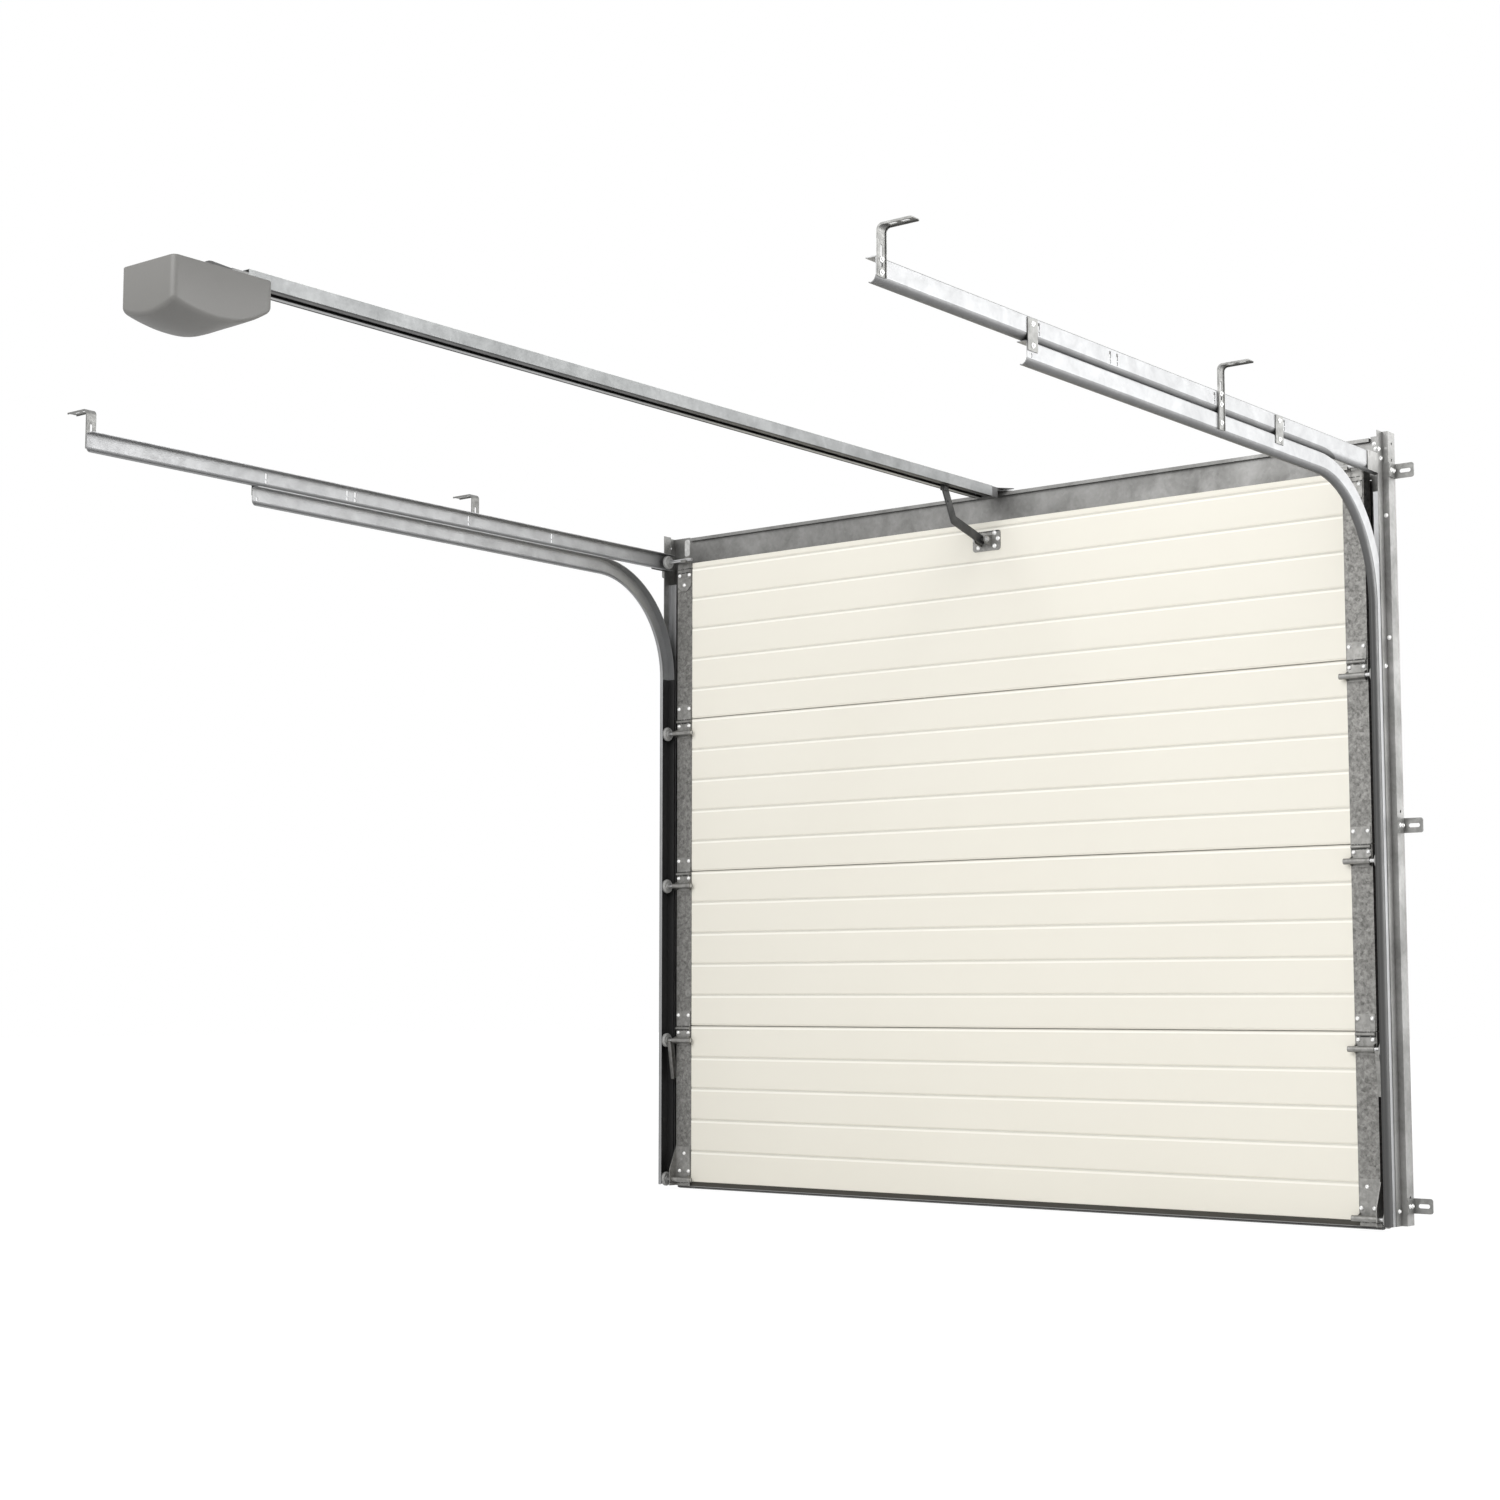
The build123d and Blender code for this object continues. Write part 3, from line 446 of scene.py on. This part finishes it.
def prism(points, axis, low, high):
    """A closed outline carried along an axis: every point is repeated at both ends, each side is one
    quad and each end one face. The outline holds the two other coordinates in their order."""
    flat = np.asarray(points, float)
    after = np.roll(flat, -1, axis=0)
    area = (flat[:, 0] * after[:, 1] - after[:, 0] * flat[:, 1]).sum()
    count = len(flat)
    corners = np.insert(np.concatenate([flat, flat]), axis, np.repeat([low, high], count), axis=1)
    here = np.arange(count)
    ahead = (here + 1) % count
    faces = [here[::-1].tolist(), (here + count).tolist()]
    faces += np.stack([here, ahead, ahead + count, here + count], axis=-1).tolist()
    if (area < 0) != (axis == 1):
        faces = [face[::-1] for face in faces]
    return corners, faces


def joined(shapes):
    """Several meshes as one: their points follow each other and their faces are counted on."""
    starts = np.cumsum([0] + [len(points) for points, _ in shapes])
    faces = [[int(index + start) for index in face]
             for start, (_, own) in zip(starts, shapes) for face in own]
    return np.concatenate([points for points, _ in shapes]), faces


def with_mirror(shape):
    """A mesh of the right side and its mirror image, with the image's faces turned round."""
    points, faces = shape
    image = points * np.array([-1.0, 1.0, 1.0])
    return joined([shape, (image, [face[::-1] for face in faces])])


def top_section():
    """Top section without a tongue: its grooved outline carried along the leaf."""
    low = DATUM + 3 * SECTION_HEIGHT + SEAM_GAP / 2
    high = DATUM + LEAF_TOP
    cap_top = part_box("end_caps")[1].z
    bevel = 0.0015
    foot = (0.003, 0.006)
    grooves = [DATUM + 3 * SECTION_HEIGHT + STRIP * i for i in (1, 2, 3, 4)] + [DATUM + TOP_GROOVE]
    steps = [(0.0, foot[1])]
    for groove in grooves:
        rise = groove - low
        steps += [(0.0, rise - GROOVE_HALF), (GROOVE_DEPTH, rise), (0.0, rise + GROOVE_HALF)]
    steps += [(0.0, high - low - bevel), (bevel, high - low)]
    inner = [(LEAF_INNER + inset, low + rise) for inset, rise in steps]
    outer = [(LEAF_OUTER - inset, low + rise) for inset, rise in reversed(steps)]
    middle = (LEAF_INNER + LEAF_OUTER) / 2
    mouth, floor, depth = 0.010, 0.007, 0.016
    recess = [(middle + mouth, low), (middle + floor, low + depth),
              (middle - floor, low + depth), (middle - mouth, low)]
    points = inner + outer + [(LEAF_OUTER - foot[0], low)] + recess + [(LEAF_INNER + foot[0], low)]
    end = LEAF_HALF - CAP_THICKNESS
    piece = add_piece("top_section", *prism(points, 0, -end, end), FINISHES["cream_steel"], "cream_steel",
                      sharp=15.0)
    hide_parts("section_4")
    lap = 0.0003
    ends = box_shape(LEAF_HALF - CAP_INNER_LEG, LEAF_HALF, CAP_FACE, LEAF_OUTER + CAP_THICKNESS,
                     cap_top, high + lap)
    add_piece("cap_ends", *with_mirror(ends), FINISHES["galvanised_caps"], "galvanised_caps")


def rounded(x0, x1, z0, z1, radius):
    """Rectangle with rounded corners: four quarter arcs whose angle runs once round."""
    steps = 20
    turn = (np.arange(steps) + 0.5) / steps * 2 * math.pi
    x = np.where(np.cos(turn) > 0, x1 - radius, x0 + radius) + radius * np.cos(turn)
    z = np.where(np.sin(turn) > 0, z1 - radius, z0 + radius) + radius * np.sin(turn)
    return np.stack([x, z], axis=1)


def box_shape(x0, x1, y0, y1, z0, z1):
    """Block: a rectangle carried upwards."""
    return prism([(x0, y0), (x1, y0), (x1, y1), (x0, y1)], 2, z0, z1)


def top_bracket_plates():
    """Top corner brackets: a plate pointed at its foot, a narrow slide on it, and a small saddle under
    the top roller's axle. The slide's bright head stands above the leaf."""
    left, right = HINGE_MIDDLE - BRACKET_HALF, HINGE_MIDDLE + BRACKET_HALF
    low, high, point = DATUM + 1.925, DATUM + LEAF_TOP + 0.0003, 0.018
    slide_low, head_low, head_high = DATUM + 1.965, 0.0145, DATUM + 2.095
    plate = prism([(left, low + point), (left + point, low), (right - point, low), (right, low + point),
                   (right, high), (left, high)], 1, PLATE_FACE, CAP_FACE)
    slide_face = PLATE_FACE - PLATE_THICKNESS
    axle_y, axle_z = ROLLER_Y, DATUM + TOP_AXLE
    saddle_low = axle_z - 0.009
    slide = prism(rounded(*SLIDE_X, slide_low, axle_z + 0.014, 0.002), 1, slide_face, PLATE_FACE)
    saddle = box_shape(*SLIDE_X, axle_y - 0.0075, slide_face, saddle_low, axle_z - 0.0058)
    nose = box_shape(*SLIDE_X, axle_y - 0.0085, axle_y - 0.0060, saddle_low, axle_z + 0.001)
    piece = add_piece("top_bracket_plates", *with_mirror(joined([plate, slide, saddle, nose])),
                      FINISHES["zinc_hardware"], "zinc_hardware")
    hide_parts("top_brackets")
    head = prism(rounded(*SLIDE_X, axle_z + head_low, head_high, 0.007), 1, slide_face, PLATE_FACE)
    add_piece("slide_heads", *with_mirror(head), FINISHES["slide_heads"], "bright_steel")


def coupling_and_strap():
    """Coupling block on the rail's rear end and the dark wedge-shaped strap that runs on over the motor
    housing, with its rear end rounded."""
    rear = RAIL_REAR - COUPLING_LENGTH
    block = box_shape(-RAIL_HALF, RAIL_HALF, rear, RAIL_REAR, RAIL_LOW, RAIL_LOW + COUPLING_HEIGHT)
    piece = add_piece("coupling_block", *block, FINISHES["coupling"], "rail_steel")
    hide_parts("rail_coupling")
    tail = rear - MOTOR_STRAP_LENGTH
    front_height, nose_height = 0.0225, 0.009
    nose_length, nose_rise = 0.022, 0.017
    angle = np.linspace(math.pi / 2, math.pi, 6)
    nose = np.stack([tail + nose_length + nose_length * np.cos(angle),
                     RAIL_LOW + nose_height + nose_rise * np.sin(angle)], axis=1)
    strap = [(rear, RAIL_LOW), (rear, RAIL_LOW + front_height), *nose.tolist(), (tail, RAIL_LOW + 0.0002)]
    add_piece("motor_strap", *prism(strap, 0, -RAIL_HALF, RAIL_HALF), FINISHES["dark_steel"], "dark_steel")


def lever_plates():
    """Folded levers, open towards the middle of the doorway: a back web and two flanges each, hung on
    the axle of the lowest seam and leaning a little."""
    axle = np.array([ROLLER_Y, DATUM + SECTION_HEIGHT - LEVER_AXLE_DROP])
    cosine, sine = math.cos(LEVER_LEAN), math.sin(LEVER_LEAN)
    turn = np.array([[cosine, -sine], [sine, cosine]])
    outer = LEVER_OUTER
    inner = outer - LEVER_WIDTH
    wall = 0.0015
    set_back = 0.001

    def plate(points, low, high):
        return prism(np.asarray(points) @ turn.T + axle, 0, low, high)

    boss, length, foot = 0.0095, 0.125, 0.008
    arc = np.linspace(math.pi, 0.0, 9)
    crown = np.stack([boss * np.cos(arc), boss * np.sin(arc)], axis=1).tolist()
    face = crown + [(foot, -length), (-boss, -length)]
    shapes = [plate(face, outer - wall, outer)]
    flange_top = -boss * 0.3
    for near, far in ((-boss, -boss + wall), (boss - wall - set_back, boss - set_back)):
        shapes.append(plate([(near, -length), (far, -length), (far, flange_top), (near, flange_top)],
                            inner, outer - wall))
    piece = add_piece("lever_plates", *with_mirror(joined(shapes)), FINISHES["zinc_hardware"],
                      "zinc_hardware")
    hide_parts("levers")


# Motor housing: half its width and its edge radii, then distances from its rear, with how far its sides
# and its belly hang under the rail there
HEAD_HALF = 0.0855
HEAD_CORNER = 0.013
SMALLEST_CORNER = 0.002
HEAD_EDGE = 0.010
HEAD_TOP_EDGE = 0.003
HEAD_PLACES = (0.0, 0.020, 0.055, 0.095, 0.135, 0.175, 0.215, 0.262)
HEAD_SIDES = (0.092, 0.0985, 0.1065, 0.112, 0.112, 0.107, 0.0925, 0.065)
HEAD_BELLY = (0.112, 0.118, 0.126, 0.131, 0.130, 0.1135, 0.0945, 0.067)


def smooth_through(x, places, values):
    """Cubic pieces through the given values, with the slope at each place taken from its neighbours."""
    places = np.asarray(places)
    values = np.asarray(values)
    slopes = np.gradient(values, places)
    i = np.clip(np.searchsorted(places, x) - 1, 0, len(places) - 2)
    span = places[i + 1] - places[i]
    t = (x - places[i]) / span
    return ((2 * t ** 3 - 3 * t ** 2 + 1) * values[i] + (t ** 3 - 2 * t ** 2 + t) * span * slopes[i]
            + (3 * t ** 2 - 2 * t ** 3) * values[i + 1] + (t ** 3 - t ** 2) * span * slopes[i + 1])


def belly_height(x, y):
    """Height of the housing's underside: across, a parabola from the side's edge to the middle."""
    along = np.clip(y - HEAD_REAR, 0.0, HEAD_LENGTH)
    side = smooth_through(along, HEAD_PLACES, HEAD_SIDES)
    middle = smooth_through(along, HEAD_PLACES, HEAD_BELLY)
    return RAIL_LOW - side - (middle - side) * (1 - (x / HEAD_HALF) ** 2)


def plan_ring(inset, count):
    """Rounded rectangle seen from above, drawn in by an inset: the corner's arc turns while the angle
    runs, and each straight run lies between two arcs."""
    radius = max(HEAD_CORNER - inset, SMALLEST_CORNER)
    half = np.array([HEAD_HALF - inset, HEAD_LENGTH / 2 - inset])
    turn = np.linspace(0.0, math.pi / 2, count)
    arc = np.stack([np.cos(turn), np.sin(turn)], axis=1) * radius + (half - radius)
    quarters = [(1, 1), (-1, 1), (-1, -1), (1, -1)]
    corners = [(arc if right * front > 0 else arc[::-1]) * (right, front) for right, front in quarters]
    share = np.linspace(0.0, 1.0, 26)[1:-1, None]
    parts = []
    for corner, following in zip(corners, corners[1:] + corners[:1]):
        parts += [corner, corner[-1] * (1 - share) + following[0] * share]
    return np.concatenate(parts)


def motor_housing():
    """Housing under the rail: rings of a rounded rectangle. They run from the middle of the top over a
    small edge down the walls, round the lower edge on a quarter circle, and shrink along the belly."""
    centre = HEAD_REAR + HEAD_LENGTH / 2
    rows = []

    def ring(inset, shrink, height):
        plan = plan_ring(inset, 7) * shrink
        x, y = plan[:, 0], plan[:, 1] + centre
        rows.append(np.stack([x, y, height(x, y)], axis=1))

    for shrink in (0.25, 0.6):
        ring(HEAD_TOP_EDGE, shrink, lambda x, y: np.full_like(x, RAIL_LOW))
    for angle in np.linspace(0.0, math.pi / 2, 4):
        inset = HEAD_TOP_EDGE * (1 - math.sin(angle))
        ring(inset, 1.0, lambda x, y: np.full_like(x, RAIL_LOW - HEAD_TOP_EDGE * (1 - math.cos(angle))))
    for angle in np.linspace(0.0, math.pi / 2, 8):
        inset = HEAD_EDGE * (1 - math.cos(angle))
        ring(inset, 1.0, lambda x, y: belly_height(x, y) + HEAD_EDGE * (1 - math.sin(angle)))
    for shrink in (0.94, 0.85, 0.72, 0.56, 0.38, 0.2, 0.06):
        ring(HEAD_EDGE, shrink, belly_height)
    points = np.concatenate(rows)
    count = len(rows[0])
    row = np.arange(len(rows) - 1)[:, None] * count
    around = np.arange(count)
    here = row + around
    ahead = row + (around + 1) % count
    quads = np.stack([here, here + count, ahead + count, ahead], axis=-1).reshape(-1, 4).tolist()
    last = len(points) - count
    ends = [list(range(count)), list(range(last, last + count))[::-1]]
    piece = add_piece("motor_housing", points, quads + ends, FINISHES["grey_housing"], "grey_housing",
                      sharp=40.0)
    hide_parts("opener_head")


# Fasteners

HEX_CORNER = math.pi / 6
SHELL_SIDES = 18
LEAF_SCREW = (0.0062, 0.0042)
BRACKET_SCREW = (0.007, 0.0045)
FRAME_BOLT = (0.0072, 0.0045, 0.0062)
ARM_NUT = (0.013, 0.007, 0.010)


def polar_shells(places, axes, rings, sides=SHELL_SIDES):
    """Closed shells around an axis each: radius r_i * (1 - q_i + q_i * cos(30) / cos(angle from a flat's
    middle)) at height h_i, so a ring with q = 0 is a circle and one with q = 1 a hexagon. A pole closes
    each end. Rings are rows of height, radius and q."""
    places, axes, rings = (np.asarray(rows, float) for rows in (places, axes, rings))
    helper = np.where(np.abs(axes[:, 2:]) > 0.9, [[1.0, 0.0, 0.0]], [[0.0, 0.0, 1.0]])
    across = np.cross(helper, axes)
    across /= np.linalg.norm(across, axis=1, keepdims=True)
    up = np.cross(axes, across)
    turn = np.arange(sides) / sides * 2 * np.pi
    from_flat = np.mod(turn + HEX_CORNER, 2 * HEX_CORNER) - HEX_CORNER
    hexagon = math.cos(HEX_CORNER) / np.cos(from_flat)
    height, radius, share = (rings[:, i, None] for i in range(3))
    reach = radius * (1 - share + share * hexagon[None])
    ring_points = (reach[None, ..., None] * (np.cos(turn)[None, None, :, None] * across[:, None, None]
                                             + np.sin(turn)[None, None, :, None] * up[:, None, None])
                   + height[None, ..., None] * axes[:, None, None] + places[:, None, None])
    poles = places[:, None] + axes[:, None] * rings[[0, -1], 0][None, :, None]
    count = len(rings) * sides
    points = np.concatenate([ring_points.reshape(len(places), count, 3), poles], axis=1)
    row = np.arange(len(rings) - 1)[:, None] * sides
    here = row + np.arange(sides)
    after = row + (np.arange(sides) + 1) % sides
    quads = np.stack([here, after, after + sides, here + sides], axis=-1).reshape(-1, 4)
    first = np.arange(sides)
    second = (first + 1) % sides
    last = count - sides
    foot = np.stack([second, first, np.full(sides, count)], axis=-1)
    cap = np.stack([first + last, second + last, np.full(sides, count + 1)], axis=-1)
    shift = (np.arange(len(places)) * (count + 2))[:, None, None]
    faces = [face for group in (quads, foot, cap)
             for face in (group[None] + shift).reshape(-1, group.shape[1]).tolist()]
    return points.reshape(-1, 3), faces


def add_piece(name, points, faces, material, slot, sharp=35.0):
    """Puts a mesh into the scene as a piece that goes with the door's frame."""
    mesh = bpy.data.meshes.new(name)
    mesh.from_pydata(points.tolist(), [], faces)
    mesh.polygons.foreach_set("use_smooth", np.ones(len(mesh.polygons), dtype=bool))
    mesh.set_sharp_from_angle(angle=math.radians(sharp))
    mesh.materials.append(material)
    piece = bpy.data.objects.new(name, mesh)
    bpy.context.scene.collection.objects.link(piece)
    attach(piece, "root")
    return piece


def head_rings(across_flats, height, washer):
    """Rings of a hexagon head with a round washer of a given radius under it and a crowned top."""
    flat = across_flats / 2 / math.cos(HEX_CORNER)
    rim = 0.0012
    return [(0.0, washer * 0.9, 0), (0.0, washer, 0), (rim * 0.7, washer, 0), (rim, washer * 0.88, 0),
            (rim, flat, 1), (height * 0.85, flat, 1), (height, flat * 0.8, 0.4),
            (height * 1.04, flat * 0.4, 0)]


def pan_rings(radius, height):
    """Rings of a pan head with a shallow dimple in its middle."""
    angles = np.linspace(0.0, 0.42 * math.pi, 5)
    dome = [(height * math.sin(a), radius * math.cos(a) ** 0.6, 0) for a in angles]
    return [(0.0, radius * 0.8, 0)] + dome + [(height * 0.75, radius * 0.16, 0)]


def both_sides(places):
    """The right-hand places and their mirror images on the left."""
    return places + [(-x, y, z) for x, y, z in places]


def leaf_screws():
    """Screws of the hinges, corner plates and top brackets, all facing into the garage."""
    seams = [DATUM + SECTION_HEIGHT * i for i in (1, 2, 3)]
    half_pitch = 0.021
    places = [(HINGE_MIDDLE + x, PLATE_FACE, seam + z) for seam in seams
              for x in (-half_pitch, half_pitch) for z in (0.034, -0.0223)]
    places += [(1.179, PLATE_FACE, DATUM + 0.0908)]
    places += [(x, PLATE_FACE, DATUM + 0.0345) for x in (1.161, 1.198)]
    places += [(x, PLATE_FACE, DATUM + 1.978) for x in (1.163, 1.2036)]
    places += [(HINGE_MIDDLE, PLATE_FACE, DATUM + 1.9452)]
    return both_sides(places)


def frame_bolts():
    """Bolts in the posts' legs, the straps, hangers, wall brackets and corner plates, facing sideways."""
    places = [(LEG_FACE, LEG_BOLT_Y, DATUM + z) for z in (2.042, 1.475, 0.030)]
    places += [(LEG_FACE, -0.068, DATUM + 2.0653)]
    places += [(STRAP_FACE, y, UPPER_TRACK_LOW + z) for y in (-1.819, -0.655) for z in (0.038, -0.010)]
    places += [(HANGER_FACE, y, UPPER_TRACK_LOW + z) for y in (-2.381, -0.963) for z in (0.0485, 0.022)]
    places += [(HANGER_FACE, -0.963, UPPER_TRACK_LOW - 0.024)]
    places += [(BRACKET_FACE, y, DATUM + z) for y in (-0.015, -0.031) for z in (0.042, 1.048, 2.012)]
    return both_sides(places)


def post_bolts():
    """Bolts in the posts' front flanges and in the lintel's ends, facing into the garage."""
    return both_sides([(1.270, POST_FRONT, DATUM + z) for z in (1.886, 1.553)]
                      + [(1.2215, WALL_FLANGE, DATUM + 2.0962), (1.2259, WALL_FLANGE, DATUM + 2.0822)])


def bracket_screws():
    """Six screws around the bracket of the opener's arm."""
    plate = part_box("door_bracket")[1].y - 0.003
    places = ((0.029, 1.980), (0.041, 1.962), (0.029, 1.9405), (-0.029, 1.9395), (-0.036, 1.963),
              (-0.029, 1.9785))
    return [(x, plate, DATUM + z) for x, z in places]


def sideways(places):
    """Away from the door's middle, for each place."""
    return [(math.copysign(1.0, x), 0.0, 0.0) for x, _, _ in places]


def inwards(places):
    """Into the garage, for each place."""
    return [(0.0, -1.0, 0.0)] * len(places)


def add_fasteners():
    """All screws, bolts and nuts, in a few joined pieces."""
    finish = zinc_screws()
    screw, bracket_screw = pan_rings(*LEAF_SCREW), pan_rings(*BRACKET_SCREW)
    bolt, nut = head_rings(*FRAME_BOLT), head_rings(*ARM_NUT)
    pin_ends = [(side * ARM_PIN_END, *ARM_PIVOT) for side in (-1, 1)]
    for name, places, facing, rings in (("leaf_screws", leaf_screws(), inwards, screw),
                                        ("frame_bolts", frame_bolts(), sideways, bolt),
                                        ("post_bolts", post_bolts(), inwards, bolt),
                                        ("bracket_screws", bracket_screws(), inwards, bracket_screw)):
        add_piece(name, *polar_shells(places, facing(places), rings), finish, "zinc_hardware")
    add_piece("arm_nuts", *polar_shells(pin_ends, sideways(pin_ends), nut), FINISHES["bright_steel"],
              "bright_steel")


def dress_cad():
    """Gives every CAD node the finish of its slot."""
    slots = {row["node"]: row["material_slot"] for row in frame["record"]["subparts"]}
    for name, node in NODES.items():
        if not node.material_slots:
            node.data.materials.append(FINISHES[slots[name]])
        for slot in node.material_slots:
            slot.material = FINISHES[slots[name]]


def place_camera():
    """Camera from its place, its turn to the left of +Y and its tilt upwards."""
    data = bpy.data.cameras.new("camera")
    data.lens = CAMERA_LENS
    data.sensor_width = SENSOR_WIDTH
    data.sensor_fit = "HORIZONTAL"
    data.clip_end = VIEW_DEPTH
    camera = bpy.data.objects.new("camera", data)
    bpy.context.scene.collection.objects.link(camera)
    forward = Vector((-math.sin(CAMERA_YAW) * math.cos(CAMERA_PITCH),
                      math.cos(CAMERA_YAW) * math.cos(CAMERA_PITCH), math.sin(CAMERA_PITCH)))
    right = forward.cross(Vector((0, 0, 1))).normalized()
    up = right.cross(forward)
    turn = Matrix((right, up, -forward)).transposed().to_4x4()
    camera.matrix_world = Matrix.Translation(CAMERA_PLACE) @ turn
    bpy.context.scene.camera = camera


def place_lamp(name, place, target, size, power):
    """A white rectangular lamp that shines from its place to its target and isn't seen itself."""
    data = bpy.data.lights.new(name, "AREA")
    data.shape = "RECTANGLE"
    data.size, data.size_y = size
    data.energy = power
    lamp = bpy.data.objects.new(name, data)
    bpy.context.scene.collection.objects.link(lamp)
    way = (Vector(target) - Vector(place)).normalized()
    lamp.matrix_world = Matrix.Translation(Vector(place)) @ way.to_track_quat("-Z", "Y").to_matrix().to_4x4()
    lamp.visible_camera = False


def white_to_eyes(f, seen, otherwise):
    """Mixes what cameras, metal and glass see of the background with what lights the door."""
    rays = [f.node("ShaderNodeLightPath", {}, [], out=name)
            for name in ("Is Camera Ray", "Is Glossy Ray", "Is Transmission Ray")]
    return f.node("ShaderNodeMixShader", {}, [(rays[0] + rays[1] + rays[2]).clamp(), otherwise, seen])


def light_studio():
    """A pale world that looks white, a broad lamp in front and above, and two soft ones on the right."""
    world = bpy.data.worlds.new("studio")
    bpy.context.scene.world = world
    f = Finish("studio", world)
    white = f.node("ShaderNodeBackground", {}, [(1.0, 1.0, 1.0, 1.0), 1.0])
    glow = f.node("ShaderNodeBackground", {}, [(1.0, 1.0, 1.0, 1.0), WORLD_STRENGTH])
    f.close(white_to_eyes(f, white, glow), "ShaderNodeOutputWorld")
    for name, lamp in LAMPS.items():
        place_lamp(name, *lamp)


def lay_floor():
    """Pale floor under the door: white to the eye, with a faint shadow near the door."""
    size = FLOOR_HALF
    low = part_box("bottom_seal")[0].z - FLOOR_CLEARANCE
    mesh = bpy.data.meshes.new("floor")
    mesh.from_pydata([(-size, -size, low), (size, -size, low), (size, size, low), (-size, size, low)],
                     [], [(0, 1, 2, 3)])
    floor = bpy.data.objects.new("floor", mesh)
    bpy.context.scene.collection.objects.link(floor)
    f = Finish("pale_floor")
    pale = f.node("ShaderNodeBsdfDiffuse", {}, [(0.8, 0.8, 0.8, 1.0)])
    white = f.node("ShaderNodeEmission", {}, [(1.0, 1.0, 1.0, 1.0), FLOOR_GLOW])
    far = f.node("ShaderNodeVectorMath", {"operation": "LENGTH"}, [f.place], out="Value")
    near_share = (1 - (far - FLOOR_SHADOW_REACH) / FLOOR_SHADOW_REACH).clamp() * FLOOR_SHADOW_SHARE
    shaded = f.node("ShaderNodeMixShader", {}, [near_share, white, pale])
    f.close(white_to_eyes(f, shaded, pale))
    mesh.materials.append(f.material)


bpy.context.scene.view_settings.view_transform = "Standard"
dress_cad()
place_camera()
top_section()
top_bracket_plates()
coupling_and_strap()
lever_plates()
motor_housing()
add_fasteners()
light_studio()
lay_floor()
